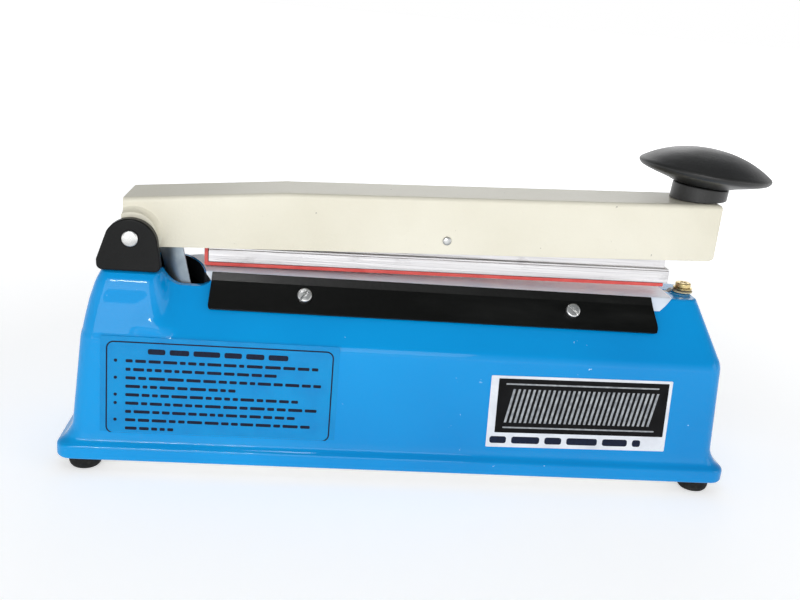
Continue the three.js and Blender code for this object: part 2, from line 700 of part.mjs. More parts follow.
function pressBar() {
  const halfBlock = 8;
  const halfWeb = 5.2;
  const web = 1.6;
  const half = [
    [halfBlock, bar.bottom], [halfBlock, bar.shoulder - 0.8], [halfBlock - 0.8, bar.shoulder - 0.8],
    [halfBlock - 0.8, bar.shoulder], [halfWeb, bar.shoulder], [halfWeb, bar.webTop],
    [halfWeb - web, bar.webTop], [halfWeb - web, bar.shoulder + 1.6],
  ];
  const shape = outline([...half, ...half.map(([y, z]) => [-y, z]).reverse()]);
  return cut(
    alongX(shape, bar.left, bar.right),
    box(bar.webRight, bar.right + 1, -20, 20, bar.shoulder, 20),
    rodAlongY(rivetOnArm.radius + 0.3, 0, 0, -20, 20, 16),
  );
}

function siliconeStrip() {
  const bottom = bar.bottom - siliconeGap - siliconeThickness;
  const left = bar.left - gap - siliconeThickness;
  const shape = outline([
    [left, bottom], [107.5, bottom], [107.5, bottom + siliconeThickness],
    [left + siliconeThickness, bottom + siliconeThickness], [left + siliconeThickness, -7], [left, -7],
  ]);
  return alongY(shape, -7.6, 7.6);
}

add(rocker, "press_bar", "aluminium", pressBar());
add(rocker, "silicone_strip", "silicone", siliconeStrip());

// ---- Return spring and its seat -----------------------------------------------------
function springCoil() {
  const turns = 6;
  const steps = 10 * turns;
  const coilRadius = 3.6;
  const points = Array.from({ length: steps + 1 }, (_, i) => {
    const share = i / steps;
    const angle = share * turns * 2 * Math.PI;
    return [
      springPlace.left + 0.6 + share * (springPlace.right - springPlace.left - 1.2),
      springPlace.y + coilRadius * Math.cos(angle),
      springPlace.z + coilRadius * Math.sin(angle),
    ];
  });
  return wire(points, 0.5, steps, 5);
}

add(machine, "return_spring", "zinc", springCoil());
const seat = turned([[0, -1.8], [3.8, -1.8], [3.8, -0.4], [2.7, -0.4], [2.7, 5], [0, 5.6]], 12);
add(machine, "spring_seat", "zinc", seat.rotateY(Math.PI / 2)).position.set(
  springPlace.left, springPlace.y, springPlace.z,
);

// ---- Sealing jaw --------------------------------------------------------------------
add(machine, "jaw_bar", "aluminium", box(
  jaw.left, jaw.right, -jaw.halfWidth, jaw.halfWidth, jaw.bottom, jaw.top,
));
add(machine, "jaw_insulation", "insulation", box(jaw.left, jaw.right, -5, 5, jaw.top + 0.2, jaw.top + 0.7));

const ribbon = { bottom: 87.15, top: 87.45, leftDrop: 82.2, tail: 88.8, riseFrom: 127.5, riseTo: 129.2 };
const ribbonSide = outline([
  [jaw.left - 0.9, ribbon.leftDrop], [jaw.left - 0.6, ribbon.leftDrop], [jaw.left - 0.6, ribbon.bottom],
  [ribbon.riseFrom, ribbon.bottom], [ribbon.riseTo, ribbon.tail], [139, ribbon.tail],
  [139, ribbon.tail + 0.3], [ribbon.riseTo - 0.2, ribbon.tail + 0.3],
  [ribbon.riseFrom - 0.2, ribbon.top], [jaw.left - 0.9, ribbon.top],
]);
const tailHole = rod(2.2, 80, 100, 16).translate(terminalX, 0, 0);
add(machine, "heating_ribbon", "nichrome", cut(
  join(
    alongY(ribbonSide, -1.5, 1.5),
    ring(3.8, 2, ribbon.tail, ribbon.tail + 0.3, 20).translate(terminalX, 0, 0),
  ),
  tailHole,
));

// PTFE cloth: over the jaw and down both shoulders, clamped under the side plates.
function clothProfile() {
  const hem = 26.5;
  return [
    [14.15, clothBottom + clothSheet], onShoulder(shoulderLength, gap + clothSheet),
    onShoulder(hem, gap + clothSheet), onShoulder(hem, gap), onShoulder(shoulderLength, gap),
    [14, clothBottom],
  ];
}
const clothHalf = clothProfile();
const clothOutline = outline([...clothHalf.map(([y, z]) => [-y, z]).reverse(), ...clothHalf]);
const clothEnd = outline([
  [-106, 70], [112, 70], [116.6, 81.3], [124.6, clothBottom - 0.2], [124.6, 95], [-106, 95],
]);

// The cloth's cut seen from above: its left end follows the rim of the lever's hole.
function clothPlan() {
  const shape = new THREE.Shape();
  const rimLeft = leverMouth.left + 10.2;
  shape.moveTo(jaw.left, -40);
  shape.lineTo(130, -40);
  shape.lineTo(130, 40);
  shape.lineTo(jaw.left, 40);
  shape.lineTo(jaw.left, 19);
  shape.lineTo(rimLeft, leverMouth.back + 0.6);
  shape.quadraticCurveTo(leverMouth.right - 5, 1.5, leverMouth.right - 2.3, leverMouth.front);
  shape.lineTo(jaw.left, -17);
  return extrude(shape, 30).translate(0, 0, 68);
}

add(machine, "ptfe_cloth", "ptfe", common(
  common(alongX(clothOutline, -106, 128), alongY(clothEnd, -40, 40)),
  clothPlan(),
));

// ---- Clamp plates and their screws --------------------------------------------------
function clampPlate(side) {
  const low = 15;
  const fold = 28.5;
  const off = 2 * gap + clothSheet;
  const lip = { y: 15.95, z: 88.5 };
  const inner = [onShoulder(low, off), onShoulder(fold, off), [lip.y, lip.z]];
  const outer = [
    [lip.y + plateSheet, lip.z + 0.3], onShoulder(fold, off + plateSheet), onShoulder(low, off + plateSheet),
  ];
  const section = alongX(outline([...outer, ...inner].map(([y, z]) => [side * y, z])), -95, 120);
  const lowest = onShoulder(low, off)[1] - 1;
  const front = new THREE.Shape();
  front.moveTo(-88.6, lowest);
  front.lineTo(112.6, lowest);
  front.quadraticCurveTo(116.6, lowest + 0.4, 115.9, lowest + 4);
  front.lineTo(112.6, 92);
  front.lineTo(-90.4, 92);
  front.lineTo(-91.8, lowest + 3);
  front.quadraticCurveTo(-92, lowest + 0.4, -88.6, lowest);
  const holes = clampScrewX.map((x) => onShoulderFace(rod(2, -3, 8, 16), x, clampScrewWay, side));
  return cut(common(section, alongY(front, -40, 40)), ...holes);
}

function clampScrew(slotAngle) {
  const seatHeight = 2 * gap + clothSheet + plateSheet + gap;
  const body = turned([
    [0, -5], [1.7, -5], [1.7, seatHeight], [3.3, seatHeight], [3.3, seatHeight + 1.9],
    [2.9, seatHeight + 2.4], [0, seatHeight + 2.6],
  ], 20);
  const slot = box(-5, 5, -0.5, 0.5, seatHeight + 1.4, seatHeight + 4).rotateZ(slotAngle);
  return cut(body, slot);
}

[["front", -1, [-0.95, 0.75]], ["back", 1, [0.3, -0.6]]].forEach(([face, side, slots]) => {
  add(machine, "clamp_plate_" + face, "blackPaint", clampPlate(side));
  clampScrewX.forEach((x, i) => {
    const name = "clamp_screw_" + face + "_" + ["left", "right"][i];
    add(machine, name, "zinc", onShoulderFace(clampScrew(slots[i]), x, clampScrewWay, side));
  });
});

// ---- Right-hand terminal: insulating bush, brass screw ------------------------------
const terminal = groupAt(machine, terminalX, 0, 0);
add(terminal, "terminal_bush", "insulation", turned([
  [2.2, 77.5], [3, 77.5], [3, ridge.z + gap], [4.9, ridge.z + gap], [4.9, ridge.z + 0.9],
  [2.2, ridge.z + 0.9], [2.2, 77.5],
]));
const crossSlots = [box(-2.2, 2.2, -0.4, 0.4, 91.3, 95), box(-0.4, 0.4, -2.2, 2.2, 91.3, 95)];
add(terminal, "terminal_screw", "brass", cut(
  turned([
    [0, 74.6], [1.9, 74.6], [1.9, 89.3], [4.5, 89.3], [4.5, 90], [3.7, 90.1], [3.7, 91.2],
    [2.9, 92.2], [0, 92.6],
  ]),
  ...crossSlots,
));

// ---- Lead wires from the secondary winding to the heating ribbon ---------------------
add(machine, "lead_wire_left", "bareWire", wire([
  [-90.4, 0, 80.9], [-89.6, 1, 74], [-85, 6, 65], [-72, 16, 55], [-55, 23, 48], [-37.4, 25, 45],
], 1.1, 24, 8));
add(machine, "lead_wire_right", "bareWire", wire([
  [terminalX, 0, 74.2], [133, -1, 69], [122, -6, 60], [98, -16, 52], [60, -23, 48], [30, -25, 46],
  [7.2, -25, 45],
], 1.1, 28, 8));

export default sealer;
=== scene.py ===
import json
import math
import random

import bmesh
import bpy
import numpy as np
from mathutils import Matrix, Vector


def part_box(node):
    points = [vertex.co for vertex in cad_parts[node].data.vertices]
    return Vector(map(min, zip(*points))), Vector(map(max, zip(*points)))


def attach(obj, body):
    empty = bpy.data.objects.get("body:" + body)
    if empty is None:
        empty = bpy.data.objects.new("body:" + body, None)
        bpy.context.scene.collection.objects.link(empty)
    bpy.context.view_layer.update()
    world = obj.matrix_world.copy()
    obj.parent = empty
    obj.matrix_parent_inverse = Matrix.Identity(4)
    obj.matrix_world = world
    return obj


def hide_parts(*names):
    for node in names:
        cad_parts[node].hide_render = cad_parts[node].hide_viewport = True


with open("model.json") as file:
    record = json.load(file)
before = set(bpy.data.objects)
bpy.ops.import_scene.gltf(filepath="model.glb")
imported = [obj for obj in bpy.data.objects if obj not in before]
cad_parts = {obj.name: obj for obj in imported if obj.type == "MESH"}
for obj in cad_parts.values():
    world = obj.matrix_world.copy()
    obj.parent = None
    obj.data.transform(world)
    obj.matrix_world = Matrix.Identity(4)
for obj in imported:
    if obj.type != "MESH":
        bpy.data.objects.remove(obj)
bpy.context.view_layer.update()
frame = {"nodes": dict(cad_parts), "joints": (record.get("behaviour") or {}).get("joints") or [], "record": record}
scene = bpy.context.scene
random.seed(11)

# Dictionaries are in millimetres, in the machine's own frame: X from the hinge to the knob,
# Y from front to back, Z up, with the origin under the middle of the base.
rimHeight = 0.0045  # of the housing's lower rim over that origin, in metres
housingLow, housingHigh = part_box("housing")
housingMiddle = (housingLow + housingHigh) / 2
machine = Matrix.Translation((housingMiddle.x, housingMiddle.y,
                              housingLow.z - rimHeight)) @ Matrix.Scale(0.001, 4)
joints = {joint["name"]: joint for joint in frame["joints"]}


def nodeBox(name):
    low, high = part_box(name)
    toMachine = machine.inverted()
    return toMachine @ low, toMachine @ high


def nodeMiddle(name):
    low, high = nodeBox(name)
    return (low + high) / 2


def jointPlace(name):
    return machine.inverted() @ Vector(joints[name]["pos_m"])


print("camera and light")
camera = {"place": (-49.47, -433.15, 209.94), "turn": (72.736, -4.836, -4.587), "lens": 42.75}
cameraData = bpy.data.cameras.new("camera")
cameraData.lens = camera["lens"]
cameraData.sensor_width = 36
cameraData.clip_start = 0.01
cameraObject = bpy.data.objects.new("camera", cameraData)
cameraObject.location = machine @ Vector(camera["place"])
cameraObject.rotation_euler = [math.radians(angle) for angle in camera["turn"]]
scene.collection.objects.link(cameraObject)
scene.camera = cameraObject
scene.view_settings.view_transform = "Standard"


def softLight(name, place, size, power, aim=(0, 0, 0.07)):
    data = bpy.data.lights.new(name, "AREA")
    data.shape = "RECTANGLE"
    data.size, data.size_y = size
    data.energy = power
    light = bpy.data.objects.new(name, data)
    light.location = place
    light.rotation_euler = (Vector(aim) - Vector(place)).to_track_quat("-Z", "Y").to_euler()
    scene.collection.objects.link(light)


softLight("front_key", (-0.35, -1.5, 0.6), (1.4, 0.7), 6.4)
softLight("front_window", (-0.3, -1.3, 0.72), (0.34, 0.06), 2.6)
softLight("right_fill", (1.3, -0.7, 0.6), (0.8, 0.8), 2)
softLight("overhead_strip", (-0.25, -0.5, 1.2), (0.5, 0.05), 0.7)
softLight("back_fill", (0.3, 1.5, 0.7), (1.2, 0.8), 3.5)


def srgb(red, green, blue, alpha=1.0):
    def linear(value):
        value /= 255
        return value / 12.92 if value <= 0.04045 else ((value + 0.055) / 1.055) ** 2.4
    return (linear(red), linear(green), linear(blue), alpha)


class Wire:
    # a node's output that can stand in a sum
    def __init__(self, finish, socket):
        self.finish = finish
        self.socket = socket

    def maths(self, operation, first, second):
        return self.finish.make("ShaderNodeMath", {"operation": operation}, {0: first, 1: second})

    def __add__(self, other):
        return self.maths("ADD", self, other)

    def __radd__(self, other):
        return self.maths("ADD", other, self)

    def __sub__(self, other):
        return self.maths("SUBTRACT", self, other)

    def __rsub__(self, other):
        return self.maths("SUBTRACT", other, self)

    def __mul__(self, other):
        return self.maths("MULTIPLY", self, other)

    def __rmul__(self, other):
        return self.maths("MULTIPLY", other, self)


class NodeTree:
    def __init__(self, owner):
        owner.use_nodes = True
        self.tree = owner.node_tree

    def make(self, kind, settings=None, sockets=None, output=0):
        node = self.tree.nodes.new(kind)
        for key, value in (settings or {}).items():
            setattr(node, key, value)
        for key, value in (sockets or {}).items():
            if isinstance(value, Wire):
                self.tree.links.new(value.socket, node.inputs[key])
            else:
                node.inputs[key].default_value = value
        return Wire(self, node.outputs[output])

    def band(self, value, low, high):
        # 0 below low, 1 above high
        return self.make("ShaderNodeMapRange", {"clamp": True}, {0: value, 1: low, 2: high})

    def mix(self, share, first, second):
        return self.make("ShaderNodeMix", {"data_type": "RGBA"}, {0: share, 6: first, 7: second}, 2)


materials = {}


class Finish(NodeTree):
    def __init__(self, name, **fixed):
        self.material = bpy.data.materials.new(name)
        materials[name] = self.material
        super().__init__(self.material)
        self.shader = self.tree.nodes["Principled BSDF"]
        for socket, value in fixed.items():
            self.shader.inputs[socket.replace("_", " ")].default_value = value
        self.place = self.make("ShaderNodeTexCoord", output="Object")

    def feed(self, socket, wire):
        self.tree.links.new(wire.socket, self.shader.inputs[socket])

    def noise(self, scale, detail=3, roughness=0.5, stretch=(1, 1, 1)):
        spot = self.make("ShaderNodeMapping", None, {0: self.place, "Scale": stretch})
        return self.make("ShaderNodeTexNoise", None,
                         {"Vector": spot, "Scale": scale, "Detail": detail, "Roughness": roughness})

    def bump(self, height, distance, strength=1.0, under=None):
        sockets = {"Height": height, "Distance": distance, "Strength": strength}
        if under:
            sockets["Normal"] = under
        return self.make("ShaderNodeBump", None, sockets)

    def axis(self, letter):
        return self.make("ShaderNodeSeparateXYZ", None, {0: self.place}, letter)

    def layers(self, letter, pitch):
        # a sine wave along one axis
        return self.make("ShaderNodeMath", {"operation": "SINE"},
                         {0: self.axis(letter) * (2 * math.pi / pitch)})

    def clouded(self, main, second, cloud, grain, rough=None, swell=None):
        # Two colours in clouds, over a fine grain and perhaps a broad swell. cloud is (scale, detail, breakup,
        # low, high), grain and swell are (scale, detail, height, strength), and rough is the least roughness
        # and what the clouds add to it.
        scale, detail, breakup, low, high = cloud
        share = self.band(self.noise(scale, detail, breakup), low, high)
        self.feed("Base Color", self.mix(share, main, second))
        if rough:
            self.feed("Roughness", rough[0] + rough[1] * share)
        normal = None
        for scale, detail, height, strength in [grain] + ([swell] if swell else []):
            normal = self.bump(self.noise(scale, detail), height, strength, normal)
        self.feed("Normal", normal)


def stovedEnamel():
    look = {"blue": srgb(0, 150, 220), "deep": srgb(0, 134, 204), "pale": srgb(165, 212, 240)}
    finish = Finish("blue_paint", Specular_IOR_Level=0.02, Coat_Weight=0.55, Coat_Roughness=0.04)
    colour = finish.mix(finish.band(finish.noise(9, 2), 0.35, 0.7), look["blue"], look["deep"])
    # pale specks on the blue enamel: partly paint chips, partly painted glints of highlight
    glintAndChipZones = finish.band(finish.noise(24, 2), 0.5, 0.62)
    paleSpots = finish.band(finish.noise(330, 2, 0.6), 0.735, 0.755) * glintAndChipZones
    finish.feed("Base Color", finish.mix(paleSpots, colour, look["pale"]))
    finish.feed("Roughness", 0.15 + 0.1 * finish.band(finish.noise(60, 4), 0.45, 0.8))
    peel = finish.bump(finish.noise(160, 2), 0.00035, 0.3)
    finish.feed("Normal", finish.bump(finish.noise(28, 1), 0.0012, 0.2, peel))


def powderCoat():
    look = {"cream": srgb(228, 224, 208), "shade": srgb(214, 209, 190), "dust": srgb(120, 116, 104)}
    finish = Finish("cream_paint", Coat_Weight=0.15, Coat_Roughness=0.3)
    colour = finish.mix(finish.band(finish.noise(14, 3), 0.3, 0.75), look["cream"], look["shade"])
    specks = finish.band(finish.noise(420, 2, 0.6), 0.75, 0.78)
    finish.feed("Base Color", finish.mix(specks, colour, look["dust"]))
    finish.feed("Roughness", 0.36 + 0.18 * finish.noise(700, 2))
    grain = finish.bump(finish.noise(900, 3, 0.6), 0.0003, 0.5)
    finish.feed("Normal", finish.bump(finish.noise(30, 1), 0.001, 0.15, grain))


def blackEnamel():
    look = {"black": srgb(9, 10, 9), "worn": srgb(26, 27, 26), "bare": srgb(175, 175, 170)}
    finish = Finish("black_paint", Specular_IOR_Level=0.13, Coat_Weight=0.03, Coat_Roughness=0.12)
    rubbed = finish.band(finish.noise(40, 5, 0.6, (0.25, 1, 1)), 0.55, 0.8)
    colour = finish.mix(rubbed, look["black"], look["worn"])
    lowEdge = 1 - finish.band(finish.axis("Z"), 0.0728, 0.0742)  # heights in metres
    # bare metal chips along the plate's low edge
    paleSpots = finish.band(finish.noise(700, 2, 0.7), 0.66, 0.7) * lowEdge
    finish.feed("Base Color", finish.mix(paleSpots, colour, look["bare"]))
    finish.feed("Roughness", 0.28 + 0.25 * rubbed)
    finish.feed("Normal", finish.bump(finish.noise(500, 3), 0.00025, 0.35))


def mouldedPlastic(name, dark, light, roughness, grain, specular):
    Finish(name, Specular_IOR_Level=specular).clouded(
        dark, light, (45, 4, 0.5, 0.35, 0.75), (1400, 2, grain, 0.4), (roughness, 0.14),
        (60, 2, 0.0006, 0.2))


def platedSteel(name, bright, dull, roughness, scale):
    # zinc plate or brass: metal with a faint spangle and rubbed patches
    Finish(name, Metallic=1.0).clouded(
        bright, dull, (scale, 4, 0.5, 0.35, 0.7), (900, 2, 0.0002, 0.35), (roughness, 0.16))


def plainFinish(name, main, second, roughness, scale, height=0.0002, specular=0.5):
    Finish(name, Specular_IOR_Level=specular).clouded(
        main, second, (scale, 4, 0.5, 0.35, 0.7), (scale * 5, 2, height, 0.4), (roughness, 0.12))


def extrudedAluminium():
    finish = Finish("aluminium", Metallic=1.0)
    lines = finish.noise(1500, 3, 0.6, (0.012, 1, 1))
    marks = finish.band(finish.noise(90, 4, 0.7, (0.5, 1, 1)), 0.58, 0.7)
    colour = finish.mix(finish.band(lines, 0.3, 0.75), srgb(238, 237, 238), srgb(205, 203, 205))
    finish.feed("Base Color", finish.mix(0.35 * marks, colour, srgb(150, 146, 146)))
    finish.feed("Roughness", 0.3 + 0.2 * lines)
    finish.feed("Normal", finish.bump(lines, 0.00025, 0.5))


def coatedCloth():
    look = {"pale": srgb(242, 247, 253), "cool": srgb(224, 236, 252), "thread": srgb(180, 200, 228),
            "pitch": 0.0006}
    finish = Finish("ptfe", Roughness=0.38, Coat_Weight=0.2, Coat_Roughness=0.25)
    weave = finish.layers("X", look["pitch"]) * finish.layers("Y", look["pitch"])
    colour = finish.mix(finish.band(finish.noise(70, 3), 0.3, 0.75), look["pale"], look["cool"])
    threads = 0.1 * finish.band(weave, -0.4, 0.6)
    finish.feed("Base Color", finish.mix(threads, colour, look["thread"]))
    weaveBump = finish.bump(weave, 0.00004, 0.5)
    finish.feed("Normal", finish.bump(finish.noise(80, 2), 0.0008, 0.3, weaveBump))


def layeredSteel():
    finish = Finish("laminations", Metallic=0.7, Roughness=0.5)
    sheets = finish.layers("Y", 0.0006)
    colour = finish.mix(finish.band(sheets, -0.2, 0.8), srgb(74, 76, 80), srgb(40, 41, 44))
    finish.feed("Base Color", colour)
    finish.feed("Normal", finish.bump(sheets, 0.0001, 0.6))


def signalLens():
    finish = Finish("red_lens", Roughness=0.12, Coat_Weight=0.8, Transmission_Weight=0.35)
    finish.feed("Base Color", finish.mix(finish.noise(300, 2), srgb(214, 18, 16), srgb(160, 8, 10)))
    finish.feed("Normal", finish.bump(finish.noise(500, 2), 0.0003, 0.3))


print("materials")
stovedEnamel()
powderCoat()
blackEnamel()
extrudedAluminium()
coatedCloth()
layeredSteel()
signalLens()
# painted shade: the inside of the shell is near black in uneven patches, standing in for the shade inside it
Finish("painted_shade_inside", Specular_IOR_Level=0.2).clouded(
    srgb(12, 14, 18), srgb(30, 33, 38), (60, 5, 0.6, 0.45, 0.8), (500, 3, 0.0003, 0.4), (0.6, 0.2))
Finish("rubber", Roughness=0.75, Specular_IOR_Level=0.3).clouded(
    srgb(14, 14, 15), srgb(46, 45, 43), (260, 4, 0.65, 0.5, 0.8), (900, 3, 0.0003, 0.5))
Finish("silicone", Specular_IOR_Level=0.4).clouded(
    srgb(230, 96, 90), srgb(214, 80, 76), (120, 3, 0.5, 0.35, 0.7), (1200, 2, 0.0002, 0.4), (0.45, 0.2))
mouldedPlastic("black_plastic", srgb(10, 11, 11), srgb(18, 19, 19), 0.34, 0.0002, 0.2)
mouldedPlastic("knob_plastic", srgb(22, 22, 22), srgb(36, 36, 35), 0.33, 0.0003, 0.5)
platedSteel("zinc", srgb(222, 222, 220), srgb(178, 180, 180), 0.24, 190)
platedSteel("lever_steel", srgb(176, 186, 192), srgb(120, 132, 142), 0.42, 60)
platedSteel("brass", srgb(226, 205, 150), srgb(176, 152, 98), 0.2, 220)
platedSteel("nichrome", srgb(150, 147, 142), srgb(96, 90, 86), 0.3, 120)
plainFinish("insulation", srgb(217, 206, 174), srgb(186, 172, 132), 0.7, 200)
plainFinish("winding_tape", srgb(214, 162, 52), srgb(178, 122, 30), 0.3, 160)
plainFinish("board", srgb(34, 118, 66), srgb(20, 84, 46), 0.35, 240)
plainFinish("relay_blue", srgb(36, 80, 170), srgb(26, 62, 140), 0.35, 180)
plainFinish("wire_sleeve", srgb(232, 226, 210), srgb(204, 194, 172), 0.55, 260)
plainFinish("label_film", srgb(0, 142, 206), srgb(0, 130, 196), 0.14, 90, 0.0001, 0.28)
plainFinish("label_ink", srgb(4, 14, 38), srgb(10, 26, 54), 0.35, 700, 0.00005, 0.2)
plainFinish("badge_white", srgb(226, 230, 236), srgb(208, 212, 220), 0.25, 120, 0.0001)
plainFinish("badge_black", srgb(5, 5, 6), srgb(13, 13, 15), 0.3, 150, 0.0001, 0.12)
plainFinish("badge_grey", srgb(168, 172, 176), srgb(120, 124, 130), 0.3, 400, 0.00005)


def meshPiece(name, vertices, faces):
    mesh = bpy.data.meshes.new(name)
    mesh.from_pydata([tuple(vertex) for vertex in vertices], [], faces)
    shape = bmesh.new()
    shape.from_mesh(mesh)
    bmesh.ops.remove_doubles(shape, verts=shape.verts, dist=0.0005)
    bmesh.ops.recalc_face_normals(shape, faces=shape.faces)
    shape.to_mesh(mesh)
    shape.free()
    piece = bpy.data.objects.new(name, mesh)
    scene.collection.objects.link(piece)
    return piece


def stacked(name, rings):
    # rings of equally many points, joined one to the next, with a face on each end
    count = len(rings[0])
    vertices = [point for ring in rings for point in ring]
    faces = []
    for row in range(len(rings) - 1):
        for i in range(count):
            j = (i + 1) % count
            low = row * count
            faces.append((low + i, low + j, low + count + j, low + count + i))
    faces.append(tuple(range(count)))
    faces.append(tuple(range(len(vertices) - count, len(vertices))))
    return meshPiece(name, vertices, faces)


def prism(name, outline, low, high, along):
    # the outline keeps its order: the other two axes, X before Y before Z
    place = "XYZ".index(along)
    return stacked(name, [[(*point[:place], level,
                            *point[place:]) for point in outline] for level in (low, high)])


def block(name, x0, x1, y0, y1, z0, z1):
    return prism(name, [(x0, y0), (x1, y0), (x1, y1), (x0, y1)], z0, z1, "Z")


def rounded(corners, steps=6):
    # a closed outline: each corner is (across, up, radius)
    points = []
    count = len(corners)
    for i, (across, up, radius) in enumerate(corners):
        here = Vector((across, up))
        if radius == 0:
            points.append(tuple(here))
            continue
        back = (Vector(corners[i - 1][:2]) - here).normalized()
        ahead = (Vector(corners[(i + 1) % count][:2]) - here).normalized()
        half = back.angle(ahead) / 2
        centre = here + (back + ahead).normalized() * (radius / math.sin(half))
        start = here + back * (radius / math.tan(half)) - centre
        end = here + ahead * (radius / math.tan(half)) - centre
        first = math.atan2(start.y, start.x)
        sweep = (math.atan2(end.y, end.x) - first + math.pi) % (2 * math.pi) - math.pi
        for step in range(steps + 1):
            angle = first + sweep * step / steps
            points.append((centre.x + radius * math.cos(angle), centre.y + radius * math.sin(angle)))
    return points


def roundedBox(x0, x1, y0, y1, radius, steps=6):
    return rounded([(x0, y0, radius), (x1, y0, radius), (x1, y1, radius), (x0, y1, radius)], steps)


def flowing(points, steps=6):
    # a smooth line through the points
    points = [np.array(point, float) for point in points]
    padded = [2 * points[0] - points[1], *points, 2 * points[-1] - points[-2]]
    line = []
    for before, here, there, after in zip(padded, padded[1:], padded[2:], padded[3:]):
        for step in range(steps):
            t = step / steps
            curve = (2 * before - 5 * here + 4 * there - after) * t * t
            twist = (3 * here - before - 3 * there + after) * t ** 3
            line.append(0.5 * (2 * here + (there - before) * t + curve + twist))
    line.append(points[-1])
    return [tuple(point) for point in line]


def bent(start, middle, end, steps=10):
    # one smooth bend from start to end, pulled towards the middle point
    start, middle, end = Vector(start), Vector(middle), Vector(end)
    shares = [step / steps for step in range(steps + 1)]
    return [tuple((1 - t) ** 2 * start + 2 * t * (1 - t) * middle + t * t * end) for t in shares]


def lathe(name, profile, segments=48):
    # profile of (radius, height), turned about Z; it closes on itself unless it ends on the axis
    vertices = []
    for radius, height in profile:
        for i in range(segments):
            angle = 2 * math.pi * i / segments
            vertices.append((radius * math.cos(angle), radius * math.sin(angle), height))
    onAxis = abs(profile[0][0]) < 1e-6
    rows = len(profile) if not onAxis else len(profile) - 1
    faces = []
    for row in range(rows):
        low = row * segments
        high = (row + 1) % len(profile) * segments
        for i in range(segments):
            j = (i + 1) % segments
            faces.append((low + i, low + j, high + j, high + i))
    return meshPiece(name, vertices, faces)


def turnedBy(piece, matrix):
    piece.data.transform(matrix)
    return piece


def applied(piece):
    graph = bpy.context.evaluated_depsgraph_get()
    mesh = bpy.data.meshes.new_from_object(piece.evaluated_get(graph))
    piece.modifiers.clear()
    piece.data = mesh
    return piece


def together(pieces):
    # several separate shells as one mesh
    first = pieces[0]
    shape = bmesh.new()
    for piece in pieces:
        shape.from_mesh(piece.data)
    shape.to_mesh(first.data)
    shape.free()
    for piece in pieces[1:]:
        bpy.data.objects.remove(piece)
    return first


def combined(piece, tool, operation):
    modifier = piece.modifiers.new("combine", "BOOLEAN")
    modifier.object = tool
    modifier.operation = operation
    modifier.solver = "EXACT"
    applied(piece)
    bpy.data.objects.remove(tool)
    return piece


def cut(piece, *tools):
    return combined(piece, together(list(tools)), "DIFFERENCE")


def joined(piece, *tools):
    for tool in tools:
        combined(piece, tool, "UNION")
    return piece


def softened(piece, width, segments=3, angle=35, clamp=True):
    modifier = piece.modifiers.new("edges", "BEVEL")
    modifier.width = width
    modifier.segments = segments
    modifier.limit_method = "ANGLE"
    modifier.angle_limit = math.radians(angle)
    modifier.use_clamp_overlap = clamp
    return applied(piece)


def shaded(mesh, sharp=32):
    # smooth shading that breaks at edges sharper than this many degrees
    shape = bmesh.new()
    shape.from_mesh(mesh)
    for face in shape.faces:
        face.smooth = True
    for edge in shape.edges:
        edge.smooth = len(edge.link_faces) == 2 and edge.calc_face_angle(0) < math.radians(sharp)
    shape.to_mesh(mesh)
    shape.free()


def settle(piece, place, body, slot, nodes=(), finish=None, sharp=32):
    # shading, the place in the machine, the finish and what it rides on
    shaded(piece.data, sharp)
    piece.data.transform(place)
    piece.data.materials.clear()
    piece.data.materials.append(materials[finish or slot])
    weighted = piece.modifiers.new("normals", "WEIGHTED_NORMAL")
    weighted.keep_sharp = True
    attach(piece, body)
    if nodes:
        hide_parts(*nodes)
    return piece


print("housing")
housing = {
    # height, half depth, left end, right end, corner radius, length over which the bend is rounded
    "stations": [
        (4.5, 39.4, -155.4, 155.4, 6.4, 0), (5.2, 40, -156, 156, 7, 0.5), (10.6, 40, -156, 156, 7, 1.2),
        (12.3, 38.2, -153.4, 153.4, 6.8, 0.8), (13.4, 37.5, -152.4, 152.4, 6.8, 0.6),
        (17.6, 36.6, -149.8, 149.8, 7, 2.6), (61, 34, -146.2, 148.2, 7, 2.6),
        (87.6, 14, -138.2, 138.2, 5, 1.1),
        (87.6, 12, -136.2, 136.2, 3.5, 0),
    ],
    "ringPoints": 760,
    "pedestalFillet": 9,
    # height, left, right, half depth, corner radius
    "inside": [
        (3.5, -153.6, 153.6, 37.6, 4.8), (9.8, -153.6, 153.6, 37.6, 4.8), (15.6, -147.9, 147.9, 34.7, 5),
        (61, -144.2, 144.2, 32, 5), (78.4, -138.7, 138.7, 18.9, 2.6),
    ],
}
pedestal = {
    # both as height, left, right, half depth, corner radius
    "stations": [
        (58, -145.6, -103.3, 33.4, 7), (61.4, -145.7, -102.3, 33.6, 7), (64, -145.4, -106.3, 33, 7),
        (69, -144.6, -109.2, 31.4, 7), (76, -143.2, -110.5, 29.7, 7), (83.4, -140.9, -111.5, 28.2, 6.5),
        (86.6, -139.4, -112, 27.1, 6), (88.3, -138.5, -112.8, 25.9, 5.2),
        (88.9, -137.2, -114.2, 24.2, 4.2),
    ],
    "inside": [(53, -142.9, -107.8, 30, 5), (86.5, -136.1, -115.4, 23.6, 4)],
    "top": 88.9,
}
mouth = {"left": -114.5, "right": -91.2, "floor": 82, "front": -15, "back": 10.5, "holeLeft": -117.5}
wallFoot, crease, ridge = housing["stations"][5:8]


